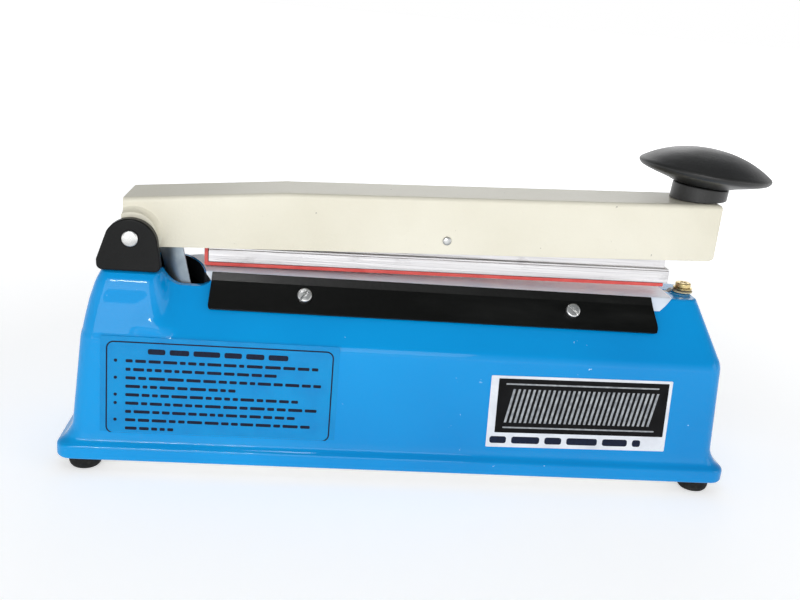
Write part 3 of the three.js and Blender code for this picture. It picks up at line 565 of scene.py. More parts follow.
def roundedStations(stations, steps=6):
    # rounds each bend of the profile, then fills long steps with more levels
    rows = [np.array(station[:5], float) for station in stations]
    line = [rows[0]]
    for before, here, after, station in zip(rows, rows[1:], rows[2:], stations[1:]):
        reach = station[5]
        back, ahead = before - here, after - here
        start = here + back * min(0.5, reach / np.linalg.norm(back[:2]))
        end = here + ahead * min(0.5, reach / np.linalg.norm(ahead[:2]))
        for t in np.linspace(0, 1, steps + 1):
            line.append((1 - t) ** 2 * start + 2 * t * (1 - t) * here + t * t * end)
    line.append(rows[-1])
    full = [line[0]]
    for there in line[1:]:
        parts = max(1, int(np.linalg.norm(there[:2] - full[-1][:2]) / 2.4))
        here = full[-1]
        full += [here + (there - here) * part / parts for part in range(1, parts + 1)]
    return full


def distanceToBox(points, middle, halfX, halfY, radius):
    offset = np.abs(points - np.array([middle, 0])) - np.array([halfX - radius, halfY - radius])
    outside = np.linalg.norm(np.maximum(offset, 0), axis=1)
    return outside + np.minimum(offset.max(axis=1), 0) - radius


def plan(points, level, height):
    # signed distance from the outline of the body and its pedestal at one height
    body = distanceToBox(points, (level[2] + level[3]) / 2, (level[3] - level[2]) / 2, level[1],
                         level[4])
    if height < pedestal["stations"][0][0]:
        return body
    table = np.array(pedestal["stations"])
    left, right, half, radius = (np.interp(height, table[:, 0], table[:, i]) for i in range(1, 5))
    raised = distanceToBox(points, (left + right) / 2, (right - left) / 2, half, radius)
    fade = np.clip((points[:, 0] - left - 14) / 14, 0, 1) * min(1, max(0, (height - 61) / 6))
    reach = housing["pedestalFillet"] * fade * fade * (3 - 2 * fade) + 0.01
    near = np.maximum(reach - np.abs(body - raised), 0)
    return np.minimum(body, raised) - near * near / (4 * reach)


def evenly(ring, count):
    closed = np.vstack([ring, ring[:1]])
    along = np.concatenate([[0], np.cumsum(np.linalg.norm(np.diff(closed, axis=0), axis=1))])
    wanted = np.linspace(0, along[-1], count, endpoint=False)
    return np.stack([np.interp(wanted, along, closed[:, i]) for i in (0, 1)], 1)


def drawnTo(ring, level, height):
    # moves a ring onto the outline, keeping its points evenly spaced
    small = 0.01
    for turn in range(7):
        value = plan(ring, level, height)
        slope = np.stack([plan(ring + np.eye(2)[i] * small, level, height) - value for i in (0, 1)],
                         1) / small
        ring = ring - slope * (value / np.maximum((slope ** 2).sum(1), 0.05))[:, None]
        if turn < 6:
            ring = evenly(ring, len(ring))
    return ring


def housingOuter():
    levels = roundedStations(housing["stations"])
    first = levels[0]
    outline = roundedBox(first[2], first[3], -first[1], first[1], first[4], 24)
    ring = evenly(np.array(outline), housing["ringPoints"])
    ring = np.roll(ring, -np.argmax(ring[:, 1] - 0.01 * np.abs(ring[:, 0])), axis=0)
    rings = []
    for level in levels:
        height = level[0]
        pedestalHeight = height
        if height > crease[0]:
            share = (height - crease[0]) / (ridge[0] - crease[0])
            pedestalHeight = crease[0] + share * (pedestal["top"] - crease[0])
            if level[1] < ridge[1]:
                pedestalHeight = pedestal["top"]
        ring = drawnTo(ring, level, pedestalHeight)
        lift = 1 - np.clip((ring[:, 0] + 112) / 8, 0, 1)
        z = height + lift * (pedestalHeight - height)
        rings.append(np.column_stack([ring, z]))
    return stacked("housing_shell", rings)


def boxStack(name, rows):
    # a solid through rounded boxes at several heights
    rings = []
    for height, left, right, half, radius in rows:
        rings.append([(x, y, height) for x, y in roundedBox(left, right, -half, half, radius, 5)])
    return stacked(name, rings)


def leverNotch():
    # the round-bottomed notch in the front shoulder
    left, right, floor = mouth["left"], mouth["right"], mouth["floor"]
    outline = bent((left, 92), (left + 4.8, floor + 0.3), (left + 10.5, floor))
    outline += bent((right - 5.5, floor), (right - 1.7, floor + 0.2), (right, floor + 2.6), 6)
    outline += [(right - 3, ridge[0] + 0.6), (right - 3, 92)]
    return prism("notch", outline, -30, mouth["front"] + 1, "Y")


def rimCurve(off=0.0):
    # the hole's right rim in plan, drawn off to the right of it
    left, right, front, back = (mouth[key] for key in ("left", "right", "front", "back"))
    return bent((right - 3 + off, front), (right - 5.6 + off, 1.5), (left + 9.7 + off, back + off), 16)


def leverHole():
    outline = [(mouth["holeLeft"], mouth["front"])] + rimCurve() + [(mouth["holeLeft"], mouth["back"])]
    return prism("lever_hole", outline, 58, 100, "Z")


wallLean = math.atan2(wallFoot[1] - crease[1], crease[0] - wallFoot[0])
shoulderLean = math.atan2(ridge[0] - crease[0], crease[1] - ridge[1])


def turned(angle, axis):
    return Matrix.Rotation(angle, 4, axis)


def moved(x, y, z):
    return Matrix.Translation((x, y, z))


def backWall(node):
    # a frame on the back wall at a CAD node: Z stands out of the wall and Y points up it
    middle = nodeMiddle(node)
    depth = wallFoot[1] - (middle.z - wallFoot[0]) * math.tan(wallLean)
    return moved(middle.x, depth, middle.z) @ turned(wallLean - math.pi / 2, "X") @ turned(math.pi, "Z")


def shoulderPoint(way, off=0.0):
    # depth and height at a way up from the crease, standing off the shoulder
    return (crease[1] - way * math.cos(shoulderLean) + off * math.sin(shoulderLean),
            crease[0] + way * math.sin(shoulderLean) + off * math.cos(shoulderLean))


def shoulder(x, way, side):
    # a frame on the front (-1) or back (1) shoulder, whose Z stands out of it
    depth, height = shoulderPoint(way)
    return moved(x, side * depth, height) @ turned(-side * shoulderLean, "X")


timerFrame = backWall("potentiometer_nut")
lampFrame = backWall("lamp_bezel")
grommetFrame = backWall("cord_grommet")
terminalX = nodeMiddle("terminal_screw").x
jawLow, jawHigh = nodeBox("jaw_bar")
clampWay = 23.3
clampX = [nodeMiddle("clamp_screw_front_" + end).x for end in ("left", "right")]
across = turned(math.pi / 2, "X")


def hole(radius, place, reach=6, segments=32):
    # a round cutting tool about the frame's Z
    return turnedBy(lathe("hole", [(0, -reach), (radius, -reach), (radius, reach), (0, reach)],
                          segments), place)


def darkenInside(shell):
    # faces of the inner shell, the notch's and the hole's walls get the near-black painted shade
    shell.data.materials.append(materials["painted_shade_inside"])
    wall, roofUnderside = 1.2, 79
    table = np.array([station[:5] for station in housing["stations"][:-1]], float)
    for face in shell.data.polygons:
        x, y, z = machine.inverted() @ face.center
        level = [np.interp(z, table[:, 0], table[:, i]) for i in range(5)]
        depth = plan(np.array([[x, y]]), level, z)[0]
        underTop = z < ridge[0] - 1 and abs(face.normal.z) < 0.9
        if depth < -wall and (underTop or z < roofUnderside):
            face.material_index = 1


def buildHousing():
    shell = housingOuter()
    gap = 0.3  # around the jaw
    tools = [
        boxStack("inside", housing["inside"]), boxStack("pedestal_inside", pedestal["inside"]),
        leverNotch(), leverHole(),
        block("lead_way", jawLow.x - 2.5, jawLow.x + 2.5, -2.6, 2.6, 58, 100),
        block("channel", jawLow.x - gap, jawHigh.x + gap, jawLow.y - gap, jawHigh.y + gap,
              jawLow.z - gap, 100),
        block("ribbon_way", jawHigh.x - 1, 130, -2, 2, 86.8, 100),
    ]
    for tool in tools:
        cut(shell, tool)
    clampHoles = [hole(2, shoulder(x, clampWay, side)) for x in clampX for side in (-1, 1)]
    cut(shell, hole(3.3, moved(terminalX, 0, 86)), hole(3.7, timerFrame), hole(4.9, lampFrame),
        hole(6, grommetFrame), *clampHoles)
    settle(shell, machine, "base", "blue_paint", ["housing"], sharp=40)
    darkenInside(shell)


buildHousing()

print("feet")
footProfile = [(4.4, -2), (4.7, -2.2), (5.4, -2.2), (6.1, -1.9), (6.8, -1.1), (7.2, 0), (7.3, 1),
               (7.3, 6.5),
               (6.9, 6.9), (2.2, 6.9), (2.2, 2.8), (4.2, 2.8), (4.4, 2.6)]
for corner in ("front_left", "front_right", "back_left", "back_right"):
    middle = nodeMiddle("foot_" + corner)
    tread = lathe("foot_tread_" + corner, footProfile, 56)
    settle(tread, machine @ moved(middle.x, middle.y, 0), "base", "rubber", ["foot_" + corner])


def slottedScrew(name, headRadius, headHeight, shankRadius, shankLength, slotWidth, slotTurn,
                 cross=False):
    # a cheese head standing on Z 0, with a slot or a cross in its top
    domed = headHeight * 0.3
    profile = [(0, -shankLength), (shankRadius, -shankLength), (shankRadius, 0), (headRadius - 0.15, 0),
               (headRadius, 0.15), (headRadius, headHeight - domed)]
    steps = 6
    for step in range(1, steps):
        angle = math.pi / 2 * step / steps
        rise = headHeight - domed + domed * math.sin(angle) * 0.8
        profile.append((headRadius * (0.78 + 0.22 * math.cos(angle)), rise))
    profile += [(headRadius * 0.78, headHeight - domed * 0.2), (headRadius * 0.4, headHeight - 0.03),
                (0, headHeight)]
    screw = lathe(name, profile, 48)
    reach = headRadius * 0.62 if cross else headRadius * 1.2
    for turn in range(2 if cross else 1):
        slot = block("slot", -reach, reach, -slotWidth / 2, slotWidth / 2, headHeight * 0.42,
                     headHeight + 1)
        cut(screw, turnedBy(slot, turned(slotTurn + turn * math.pi / 2, "Z")))
    return softened(screw, 0.07, 2, 40, False)


print("jaw")
plate = {"low": 15, "fold": 28.5, "sheet": 1.4, "off": 0.95, "lipDepth": 15.95, "lipTop": 88.5,
         "left": -91.8, "right": 115.9, "slots": {"front": (0.95, -0.75), "back": (0.3, -0.6)}}


def clampPlate(face, side):
    off, sheet = plate["off"], plate["sheet"]
    inner = [shoulderPoint(plate["low"], off), shoulderPoint(plate["fold"], off),
             (plate["lipDepth"], plate["lipTop"])]
    outer = [(plate["lipDepth"] + sheet, plate["lipTop"] + 0.3),
             shoulderPoint(plate["fold"], off + sheet),
             shoulderPoint(plate["low"], off + sheet)]
    radii = [0.25, 1.7, 0.25, 0.25, 0.4, 0.25]
    section = rounded([(y, z, radius) for (y, z), radius in zip(outer + inner, radii)], 5)
    bar = prism("clamp_strip_" + face, [(side * y, z) for y, z in section], -100, 125, "X")
    low = shoulderPoint(plate["low"], off)[1] - 1.4
    left, right = plate["left"], plate["right"]
    front = rounded([(left, low, 4), (right + 1.2, low, 4.5), (right - 3.3, 92, 0), (left + 1.4, 92, 0)],
                    8)
    combined(bar, prism("front", front, -50, 50, "Y"), "INTERSECT")
    cut(bar, *[hole(2.1, shoulder(x, clampWay, side)) for x in clampX])
    softened(bar, 0.22, 2, 40, False)
    settle(bar, machine, "base", "black_paint", ["clamp_plate_" + face])


for face, side in (("front", -1), ("back", 1)):
    clampPlate(face, side)
    for x, end, slotTurn in zip(clampX, ("left", "right"), plate["slots"][face]):
        screw = slottedScrew("cheese_screw_%s_%s" % (face, end), 3.3, 2.6, 1.7, 7, 0.8, slotTurn)
        seat = shoulder(x, clampWay, side) @ moved(0, 0, plate["off"] + plate["sheet"] + 0.05)
        settle(screw, machine @ seat, "base", "zinc", ["clamp_screw_%s_%s" % (face, end)])

cloth = {"left": -91, "right": 124.6, "top": 88.1, "topHalf": 14.1, "hem": 26.5, "off": 0.5,
         "columns": 240,
         "slant": (0.85, 0.06), "wrinkle": 0.12, "curl": 0.9, "curlFrom": 112, "thickness": 0.12}


def clothSheet():
    # One layer over the jaw and down both shoulders.
    # The left end follows the hole's rim, the right end is slanted.
    shoulderTop = shoulderPoint(math.hypot(crease[1] - ridge[1], ridge[0] - crease[0]), cloth["off"])
    hem = shoulderPoint(cloth["hem"], cloth["off"])
    half = [(y, cloth["top"]) for y in (0, 4, 8, 12)] + [(cloth["topHalf"], cloth["top"] - 0.1),
                                                         shoulderTop, hem]
    section = [(-y, z) for y, z in reversed(half[1:])] + half
    fine = []
    for (y0, z0), (y1, z1) in zip(section, section[1:]):
        parts = max(1, round(math.hypot(y1 - y0, z1 - z0) / 0.7))
        fine += [(y0 + (y1 - y0) * part / parts, z0 + (z1 - z0) * part / parts) for part in range(parts)]
    fine.append(section[-1])
    columns, slant = cloth["columns"], cloth["slant"]
    rim = [(cloth["left"], -17)] + rimCurve(0.6) + [(cloth["left"], 19)]
    vertices, faces = [], []
    for column in range(columns + 1):
        for y, z in fine:
            drop = max(0, cloth["top"] - z)
            end = cloth["right"] - slant[0] * drop - slant[1] * drop * drop
            start = np.interp(y, [across for _, across in rim], [along for along, _ in rim])
            x = start + (end - start) * (column / columns) ** 1.1
            ripple = math.sin(x * 0.21 + y * 0.3) * math.sin(x * 0.057 + 1.3) * cloth["wrinkle"]
            curl = cloth["curl"] * max(0, (x - cloth["curlFrom"]) / 14) ** 2 * min(1, drop / 3)
            lift = max(0, ripple) * (1 if drop > 0.3 else 0.3) + curl
            side = math.copysign(1, y)
            vertices.append((x, y + side * lift * 0.6, z + lift * 0.8))
    rows = len(fine)
    for column in range(columns):
        for row in range(rows - 1):
            low = column * rows + row
            faces.append((low, low + 1, low + rows + 1, low + rows))
    sheet = meshPiece("release_cloth", vertices, faces)
    solid = sheet.modifiers.new("sheet", "SOLIDIFY")
    solid.thickness = cloth["thickness"]
    solid.offset = 0
    applied(sheet)
    settle(sheet, machine, "base", "ptfe", ["ptfe_cloth"], sharp=60)
    width = cloth["right"] - min(along for along, _ in rim)
    width / 1000


clothSheet()


def terminalScrew():
    screw = slottedScrew("terminal_head", 3.7, 2.4, 1.9, 15, 0.9, 0.35, True)
    turnedBy(screw, moved(0, 0, 90.15))
    washer = lathe("washer", [(2, 89.3), (4.35, 89.3), (4.5, 89.45), (4.5, 89.95), (4.35, 90.1),
                              (2, 90.1)], 40)
    joined(screw, washer)
    settle(screw, machine @ moved(terminalX, 0, 0), "base", "brass", ["terminal_screw"])


terminalScrew()

print("hinge")
pin = jointPlace("arm_hinge")
bracket = {"radius": 11.7, "centreUp": -3.2, "inner": 21, "outer": 26, "bottom": 89.2, "bridgeTop": 91.5,
           "left": -14.6, "right": 13.4, "arc": (4, 152)}


def earOutline():
    # straight foot, sides leaning in, and a round top about a point just under the pin
    radius, centre, bottom = bracket["radius"], pin.z + bracket["centreUp"], bracket["bottom"]
    left, right = pin.x + bracket["left"], pin.x + bracket["right"]
    first, last = (math.radians(angle) for angle in bracket["arc"])
    angles = [first + (last - first) * i / 30 for i in range(31)]
    arc = [(pin.x + radius * math.cos(angle), centre + radius * math.sin(angle)) for angle in angles]
    foot = rounded([(left, bottom, 2.6), (right, bottom, 2.6), (*arc[0], 0), (left, bottom + 4.1, 0)], 6)
    # the foot's first 14 points are its two round corners
    return foot[:14] + arc + [(left - 0.1, bottom + 4.6)]


def hingeBracket():
    body = block("hinge_yoke", pin.x - 12, pin.x + 7.8, -25, 25, bracket["bottom"], bracket["bridgeTop"])
    for side in (-1, 1):
        faces = sorted((side * bracket["inner"], side * bracket["outer"]))
        ear = prism("ear", earOutline(), faces[0], faces[1], "Y")
        softened(ear, 0.9, 4, 50)
        joined(body, ear)
    cut(body, hole(3.2, moved(pin.x, 0, pin.z) @ across, 40, 40))
    settle(body, machine, "base", "black_plastic", ["hinge_bracket"])


hingeBracket()
rivetEnd = flowing([(3, 26.3), (3.5, 26.35), (3.55, 26.7), (3.2, 27.1), (2.2, 27.4), (1, 27.58),
                    (0, 27.6)], 4)
pinProfile = [(r, -h) for r, h in reversed(rivetEnd)] + rivetEnd
hingePin = turnedBy(lathe("hinge_rivet", pinProfile, 48), across)
settle(hingePin, machine @ moved(pin.x, 0, pin.z), "base", "zinc", ["hinge_pin"])

print("arm")
arm = {"tilt": 2.05, "bottom": -6, "left": -4.5, "length": 267.7, "bend": 65.5, "topLeft": 15.7,
       "topBend": 19.8,
       "topRight": 20.6, "halfWidth": 16, "sheet": 2, "edgeRadius": 2.2, "endLean": 1.6}
armFrame = moved(pin.x, 0, pin.z) @ turned(-math.radians(arm["tilt"]), "Y")


def armOutline(left, inset, bottom, corner):
    # the side view from a left end, drawn in by an inset, with a slow bend along the top
    right = arm["length"] - inset
    rise = (arm["topBend"] - arm["topLeft"]) / (arm["bend"] - arm["left"])
    return rounded([
        (left, bottom, 0), (right - arm["endLean"], bottom, corner), (right, arm["topRight"] - inset, 0),
        (arm["bend"], arm["topBend"] - inset, 30),
        (left, arm["topBend"] - rise * (arm["bend"] - left) - inset, 0),
    ], 8)


def armShell():
    # drawn past its left end, so that this end is cut square after the long edges are rounded
    half, sheet, left, bottom = arm["halfWidth"], arm["sheet"], arm["left"], arm["bottom"]
    shell = prism("pressing_arm", armOutline(left - 6, 0, bottom - 9, 0), -half, half, "Y")
    softened(shell, arm["edgeRadius"], 6, 35)
    combined(shell, prism("trim", armOutline(left, -4, bottom, 8.5), -30, 30, "Y"), "INTERSECT")
    hollow = prism("hollow", armOutline(left + sheet, sheet, bottom - 20, 0), sheet - half, half - sheet,
                   "Y")
    softened(hollow, 0.8, 3, 35)
    cut(shell, hollow)
    profile = [(0, half - sheet), (12.6, half - sheet), (12.6, half - 0.25), (11.9, half + 0.25),
               (11.2, half + 1),
               (10.7, half + 2.2), (10.5, half + 3.6), (10.5, 20.3), (10.1, 20.7), (0, 20.7)]
    for side in (-1, 1):
        boss = turnedBy(lathe("boss", profile, 64), turned(-side * math.pi / 2, "X"))
        combined(boss, prism("limit", armOutline(left + 0.01, 0.01, bottom - 6.5, 0), -30, 30, "Y"),
                 "INTERSECT")
        joined(shell, boss)
    cut(shell, block("left_mouth", -12, 0, sheet - half, half - sheet, -12, 6))
    rivetHole = hole(2, moved(rivetAt.x, 0, rivetAt.z) @ across, 40, 24)
    cut(shell, hole(3.3, across, 40, 40), rivetHole, hole(4.2, moved(knob["x"], 0, arm["topRight"])))
    softened(shell, 0.18, 2, 45, False)
    settle(shell, machine @ armFrame, "arm", "cream_paint", ["arm_shell"])


knob = {"x": 260.6, "lean": 6.3}
rivetAt = armFrame.inverted() @ jointPlace("pressing_bar_rocker")
armShell()

rivetHead = flowing([(0, -17), (0.9, -16.95), (1.6, -16.7), (1.95, -16.3), (2, -16.05)], 4)
rivetProfile = rivetHead + [(1.8, -16.02), (1.8, 16.02)] + [(r, -h) for r, h in reversed(rivetHead)]
barRivet = turnedBy(lathe("rocker_rivet", rivetProfile, 36), turned(-math.pi / 2, "X"))
dimple = turnedBy(lathe("dimple", [(0, 0), (0.8, 0), (1.1, -1.4), (0, -1.4)], 24), across)
cut(barRivet, turnedBy(dimple, moved(0, -17.4, 0) @ turned(math.pi, "Z")))
settle(barRivet, machine @ armFrame @ moved(rivetAt.x, 0, rivetAt.z), "arm", "zinc", ["bar_rivet"])

lever = {"sheet": 1.5, "front": -13.7, "bend": 8.5, "left": 7.7, "right": 19.2, "back": 5.4,
         "low": -28.6,
         "high": 7.4, "lean": -10.8}


def leverPlate():
    sheet, front, bend, left = (lever[key] for key in ("sheet", "front", "bend", "left"))
    outer = rounded([(lever["right"], front, 0), (left, front, bend), (left, lever["back"], 0)], 14)
    inner = rounded([(left + sheet, lever["back"], 0), (left + sheet, front + sheet, bend - sheet),
                     (lever["right"], front + sheet, 0)], 14)
    plateBody = prism("trip_lever", outer + inner, lever["low"], lever["high"], "Z")
    softened(plateBody, 0.25, 2, 40)
    turn = turned(math.radians(lever["lean"]), "Y")
    settle(plateBody, machine @ armFrame @ turn, "arm", "zinc", ["lever_plate"], "lever_steel")


leverPlate()

print("knob")
knobLean = turned(math.radians(knob["lean"]), "Y")
knobFrame = armFrame @ moved(knob["x"], 0, arm["topRight"]) @ knobLean
knobShape = flowing([(12.4, 7.1), (14.6, 7.5), (17, 8.4), (24, 10.3), (28.6, 11.8), (30.1, 12.8),
                     (30.75, 13.9),
                     (30.3, 15), (28.6, 16.2), (24.5, 18.6), (18.5, 21.2), (11.5, 23.1), (5, 24),
                     (0, 24.1)], 6)
knobPiece = lathe("palm_knob", [(0, 7.1)] + knobShape, 128)
settle(knobPiece, machine @ knobFrame, "arm", "black_plastic", ["handle_knob"], "knob_plastic", 45)
collarProfile = [(3.4, -6), (12.9, -6), (13.1, -5.8), (13.1, 6.3), (12.6, 6.8), (3.4, 6.8)]
collar = lathe("knob_spacer", collarProfile, 72)
above = turnedBy(block("above", -40, 40, -40, 40, 0.3, 40), knobLean.inverted())
combined(collar, above, "INTERSECT")
softened(collar, 0.2, 2, 40, False)
settle(collar, machine @ knobFrame, "arm", "black_plastic", ["knob_collar"], "knob_plastic")

print("pressing bar")
bar = {"lean": 0.746, "left": -107.8, "right": 109.4, "webRight": 107.8, "bottom": -17.3,
       "shoulder": -10.6,
       "webTop": 3, "halfBlock": 8, "halfWeb": 5.2, "web": 1.6, "stripThickness": 1.6, "stripGap": 0.2,
       "stripRight": 107.5, "stripUp": -7, "stripHalf": 7.6}
rockerTurn = moved(*jointPlace("pressing_bar_rocker")) @ turned(-math.radians(bar["lean"]), "Y")


def pressBar():
    wide, web, top, shelf = bar["halfBlock"], bar["halfWeb"], bar["webTop"], bar["shoulder"]
    half = [(wide, bar["bottom"], 0.4), (wide, shelf - 0.8, 0.2), (wide - 0.8, shelf - 0.8, 0.15),
            (wide - 0.8, shelf, 0.2), (web, shelf, 0.4), (web, top, 0.4), (web - bar["web"], top, 0.4),
            (web - bar["web"], shelf + 1.6, 0.4)]
    outline = rounded(half + [(-y, z, r) for y, z, r in reversed(half)], 3)
    profile = prism("press_extrusion", outline, bar["left"], bar["right"], "X")
    cut(profile, block("step", bar["webRight"], bar["right"] + 1, -20, 20, shelf, 20))
    cut(profile, hole(2.1, across, 20, 24))
    softened(profile, 0.1, 1, 60, False)
    settle(profile, machine @ rockerTurn, "pressing_bar", "aluminium", ["press_bar"])


def siliconeStrip():
    thick, right, up, half = (bar[key] for key in ("stripThickness", "stripRight", "stripUp",
                                                   "stripHalf"))
    low = bar["bottom"] - bar["stripGap"] - thick
    left = bar["left"] - 0.3 - thick
    outline = rounded([(left, low, 0.9), (right, low, 0.5), (right, low + thick, 0.3),
                       (left + thick, low + thick, 0.2), (left + thick, up, 0.3), (left, up, 0.3)], 5)
    strip = prism("silicone_facing", outline, -half, half, "Y")
    softened(strip, 0.25, 2, 50, False)
    settle(strip, machine @ rockerTurn, "pressing_bar", "silicone", ["silicone_strip"])


pressBar()
siliconeStrip()

print("back wall")
dial = {"corner": 3, "sheet": 0.6, "numbers": 9, "sweep": 270, "ring": 17.1}


def backPanel():
    panel = prism("timer_dial", roundedBox(-22, 22, -20, 20, dial["corner"], 8), 0.3,
                  0.3 + dial["sheet"], "Z")
    cut(panel, hole(3.8, Matrix.Identity(4)))
    softened(panel, 0.12, 2, 45)
    settle(panel, machine @ timerFrame, "base", "aluminium", ["dial_plate"])
    marks = []
    for i in range(dial["numbers"] * 2 - 1):
        angle = math.radians(-135 + dial["sweep"] * i / (dial["numbers"] * 2 - 2))
        long = 1.6 if i % 2 == 0 else 0.9
        mark = block("mark", -0.18, 0.18, 13.2, 13.2 + long, 0.9, 0.94)
        marks.append(turnedBy(mark, Matrix.Rotation(-angle, 4, "Z")))
    border = prism("border", roundedBox(-20.8, 20.8, -18.8, 18.8, 2.2, 6), 0.9, 0.94, "Z")
    cut(border, prism("inner", roundedBox(-20.3, 20.3, -18.3, 18.3, 1.8, 6), 0.8, 1.1, "Z"))
    marks.append(border)
    settle(together(marks), machine @ timerFrame, "base", "black_paint",
           finish="label_ink").name = "dial_marks"
    for i in range(dial["numbers"]):
        angle = math.radians(-135 + dial["sweep"] * i / (dial["numbers"] - 1))
        curve = bpy.data.curves.new("digit", "FONT")
        curve.body = str(i)
        curve.size = 3.4
        curve.extrude = 0.02
        curve.align_x = "CENTER"
        curve.align_y = "CENTER"
        text = bpy.data.objects.new("digit", curve)
        scene.collection.objects.link(text)
        graph = bpy.context.evaluated_depsgraph_get()
        graph.update()
        mesh = bpy.data.meshes.new_from_object(text.evaluated_get(graph))
        bpy.data.objects.remove(text)
        number = bpy.data.objects.new("dial_number_%d" % i, mesh)
        scene.collection.objects.link(number)
        turnedBy(number, Matrix.Translation((dial["ring"] * math.sin(angle),
                                             dial["ring"] * math.cos(angle), 0.93)))
        settle(number, machine @ timerFrame, "base", "black_paint", finish="label_ink")


backPanel()


def timerKnob():
    flutes, radius = 24, 11.5
    outline = []
    for i in range(flutes * 8):
        angle = 2 * math.pi * i / (flutes * 8)
        r = radius - 0.35 - 0.35 * math.cos(angle * flutes)
        outline.append((r * math.sin(angle), r * math.cos(angle)))
    rings = []
    for scale, height in ((1.0, 6), (1.0, 14.6), (0.99, 15.4), (0.965, 16.1), (0.92, 16.7), (0.86, 17)):
        rings.append([(x * scale, y * scale, height) for x, y in outline])
    grip = stacked("timer_dial_knob", rings)
    skirt = lathe("skirt", [(0, 3.9), (12.4, 3.9), (12.6, 4.1), (12.6, 5.2), (12.3, 5.6), (11.2, 6.3),
                            (0, 6.3)], 64)
    joined(grip, skirt)
    joined(grip, lathe("spindle", [(0, -1), (2.3, -1), (2.3, 5), (0, 5)], 32))
    toStart = Matrix.Rotation(math.radians(dial["sweep"] / 2), 4, "Z")
    cut(grip, turnedBy(block("pointer", -0.6, 0.6, 3, 12, 16.5, 18), toStart))
    settle(grip, machine @ timerFrame, "timer", "black_plastic", ["timer_knob"])


timerKnob()
lens = [(0, -8), (3.4, -8), (3.4, 1.2)] + flowing([(4.6, 1.3), (4.55, 2.4), (4.1, 3.8), (3.1, 4.9),
                                                   (1.6, 5.45), (0, 5.6)], 5)
settle(lathe("lamp_dome", lens, 48), machine @ lampFrame, "base", "red_lens", ["lamp_lens"])
bezel = [(3.8, -4), (4.6, -4), (4.6, 0.3), (6.3, 0.3), (6.4, 0.5), (6.25, 1.4), (5.9, 1.95), (5.5, 2.2),
         (5, 2.2), (4.9, 2),
         (4.9, 0.9), (3.8, 0.9)]
settle(lathe("lamp_ring", bezel, 56), machine @ lampFrame, "base", "zinc", ["lamp_bezel"])
grommet = [(3.2, -5), (7.2, -5), (7.6, -4.6), (7.6, -2.7), (7.3, -2.5), (5.7, -2.5), (5.7, 0.3),
           (7.8, 0.3), (8, 0.6),
           (7.8, 1.6), (7.2, 2.4), (6.3, 2.8), (4.1, 2.8), (3.5, 2.6), (3.2, 2)]
settle(lathe("inlet_grommet", grommet, 56), machine @ grommetFrame, "base", "rubber", ["cord_grommet"])

print("labels")
wallBase = housing["stations"][5]
frontWall = Matrix.Translation((0, -wallBase[1], wallBase[0])) @ Matrix.Rotation(math.pi / 2 - wallLean,
                                                                                 4, "X")
# in frontWall X runs along the machine, Y up the wall and Z out of it
filmLabel = {"left": -134, "right": -34.2, "low": -4.5, "high": 42.2, "corner": 3.4, "line": 0.62,
             "film": 0.1}
badge = {"left": 38.4, "right": 124.2, "low": 0.6, "high": 35.5, "panel": (42, 122.6, 7.8, 34.2),
         "strokes": 30,
         "turn": 0.8}
badgeFrame = frontWall @ Matrix.Translation((81.3, 18, 0)) @ Matrix.Rotation(math.radians(badge["turn"]),
                                                                             4, "Z")
badgeFrame = badgeFrame @ Matrix.Translation((-81.3, -18, 0))


def inkBars(rows, level):
    # greeked writing: each row is (start, end, middle, height); bars of uneven length stand for words
    bars = []
    for start, end, middle, height in rows:
        x = start
        while x < end - 1.5:
            length = min(random.uniform(2.2, 7.4) * height / 1.5, end - x)
            shape = roundedBox(x, x + length, middle - height / 2, middle + height / 2, height * 0.32, 3)
            bars.append(prism("word", shape, level, level + 0.03, "Z"))
            x += length + 1.1 * height / 1.5
    return bars


def instructionLabel():
    left, right, low, high = (filmLabel[side] for side in ("left", "right", "low", "high"))
    film = prism("film_label", roundedBox(left - 2.5, right + 2.5, low + 1.2, high + 2.2, 1, 4), 0.04,
                 filmLabel["film"], "Z")
    softened(film, 0.02, 1, 50, False)
    settle(film, machine @ frontWall, "base", "blue_paint", finish="label_film")
    top = filmLabel["film"] + 0.005
    frameOuter = prism("line", roundedBox(left, right, low + 3.4, high, filmLabel["corner"], 8), top,
                       top + 0.03, "Z")
    inner = filmLabel["line"]
    frameInner = roundedBox(left + inner, right - inner, low + 3.4 + inner, high - inner,
                            filmLabel["corner"] - inner, 8)
    cut(frameOuter, prism("inner", frameInner, 0, 1, "Z"))
    marks = [frameOuter]
    marks += inkBars([(left + 18, right - 19, high - 4.3, 2.5)], top)
    pitch = 3.95
    ends = [right - 5, right - 24, right - 5, right - 43, right - 14, right - 6, right - 16, right - 9,
            right - 70]
    rows = [(left + 8.5, end, high - 8.9 - pitch * i, 1.45) for i, end in enumerate(ends)]
    marks += inkBars(rows, top)
    for i in (0, 2, 4, 5, 7):
        middle = high - 8.9 - pitch * i
        marks.append(prism("bullet", roundedBox(left + 3.4, left + 4.9, middle - 0.75, middle + 0.75,
                                                0.7, 4), top, top + 0.03, "Z"))
    settle(together(marks), machine @ frontWall, "base", "black_paint",
           finish="label_ink").name = "label_lines"


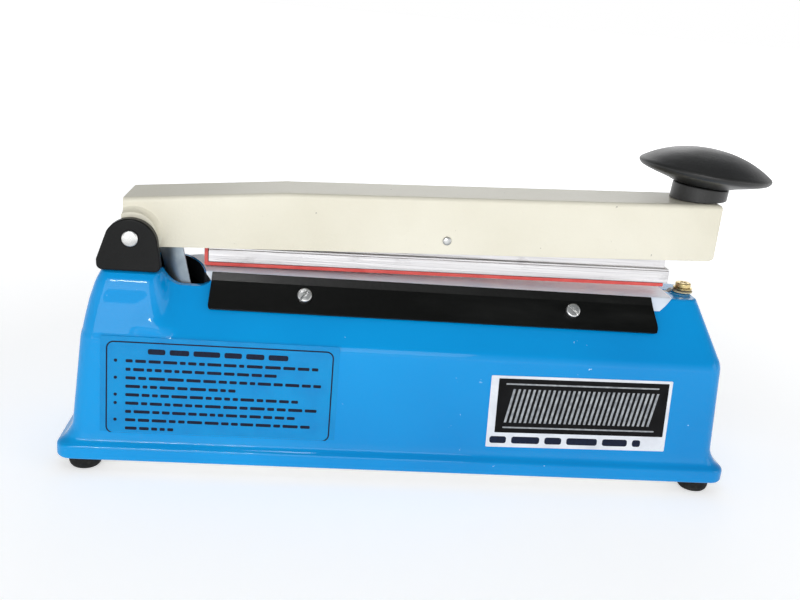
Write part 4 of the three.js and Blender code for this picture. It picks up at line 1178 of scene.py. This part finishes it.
def frontBadge():
    left, right, low, high = badge["left"], badge["right"], badge["low"], badge["high"]
    panelLeft, panelRight, panelLow, panelHigh = badge["panel"]
    sheet = prism("badge_sheet", roundedBox(left, right, low, high, 0.5, 3), 0.04, 0.16, "Z")
    settle(sheet, machine @ badgeFrame, "base", "ptfe", finish="badge_white")
    panel = prism("badge_panel", roundedBox(panelLeft, panelRight, panelLow, panelHigh, 0.3, 3), 0.165,
                  0.2, "Z")
    settle(panel, machine @ badgeFrame, "base", "black_paint", finish="badge_black")
    strokes = []
    first, last, lean = panelLeft + 4.5, panelRight - 8, 3.2
    bottom, top = panelLow + 5, panelHigh - 5
    for i in range(badge["strokes"]):
        x = first + (last - first) * i / (badge["strokes"] - 1)
        outline = [(x - 0.55, bottom), (x + 0.55, bottom), (x + 0.55 + lean, top),
                   (x - 0.55 + lean, top)]
        strokes.append(prism("stroke", outline, 0.205, 0.23, "Z"))
    for z in (panelLow + 2.6, panelHigh - 2.6):
        strokes.append(prism("rule", roundedBox(first - 1, last + 3.4, z - 0.35, z + 0.35, 0.3, 3),
                             0.205, 0.23, "Z"))
    settle(together(strokes), machine @ badgeFrame, "base", "zinc",
           finish="badge_grey").name = "badge_seal_pattern"
    words = inkBars([(left + 1.6, right - 12, (low + panelLow) / 2, 3.4)], 0.165)
    settle(together(words), machine @ badgeFrame, "base", "black_paint",
           finish="label_ink").name = "badge_lines"


instructionLabel()
frontBadge()

print("finishes")
slots = {row["node"]: row["material_slot"] for row in frame["record"]["subparts"]}
for name, node in frame["nodes"].items():
    if node.hide_render:
        continue
    node.data.materials.clear()
    node.data.materials.append(materials[slots[name]])
    shaded(node.data)

print("floor and sky")
floorMesh = bpy.data.meshes.new("floor")
floorMesh.from_pydata([(-20, -20, 0), (20, -20, 0), (20, 20, 0), (-20, 20, 0)], [], [(0, 1, 2, 3)])
floor = bpy.data.objects.new("floor", floorMesh)
scene.collection.objects.link(floor)
paper = Finish("floor_paper", Roughness=0.8, Specular_IOR_Level=0.1, Emission_Strength=1)
away = paper.band(paper.make("ShaderNodeVectorMath", {"operation": "LENGTH"}, {0: paper.place}, 1), 0.25,
                  1.1)
paper.feed("Emission Color", paper.mix(away, (0.46, 0.46, 0.46, 1), (1, 1, 1, 1)))
paper.feed("Base Color", paper.mix(paper.noise(3, 2), (0.9, 0.9, 0.9, 1), (0.87, 0.87, 0.87, 1)))
floorMesh.materials.append(paper.material)
world = bpy.data.worlds.new("sky")
sky = NodeTree(world)
direction = sky.make("ShaderNodeTexCoord", output="Generated")
upward = sky.make("ShaderNodeSeparateXYZ", None, {0: direction}, "Z")
shade = sky.mix(sky.band(upward, 0.08, 0.6), (1, 1, 1, 1), (0.24, 0.25, 0.26, 1))
sky.tree.links.new(shade.socket, sky.tree.nodes["Background"].inputs["Color"])
scene.world = world

print("done")
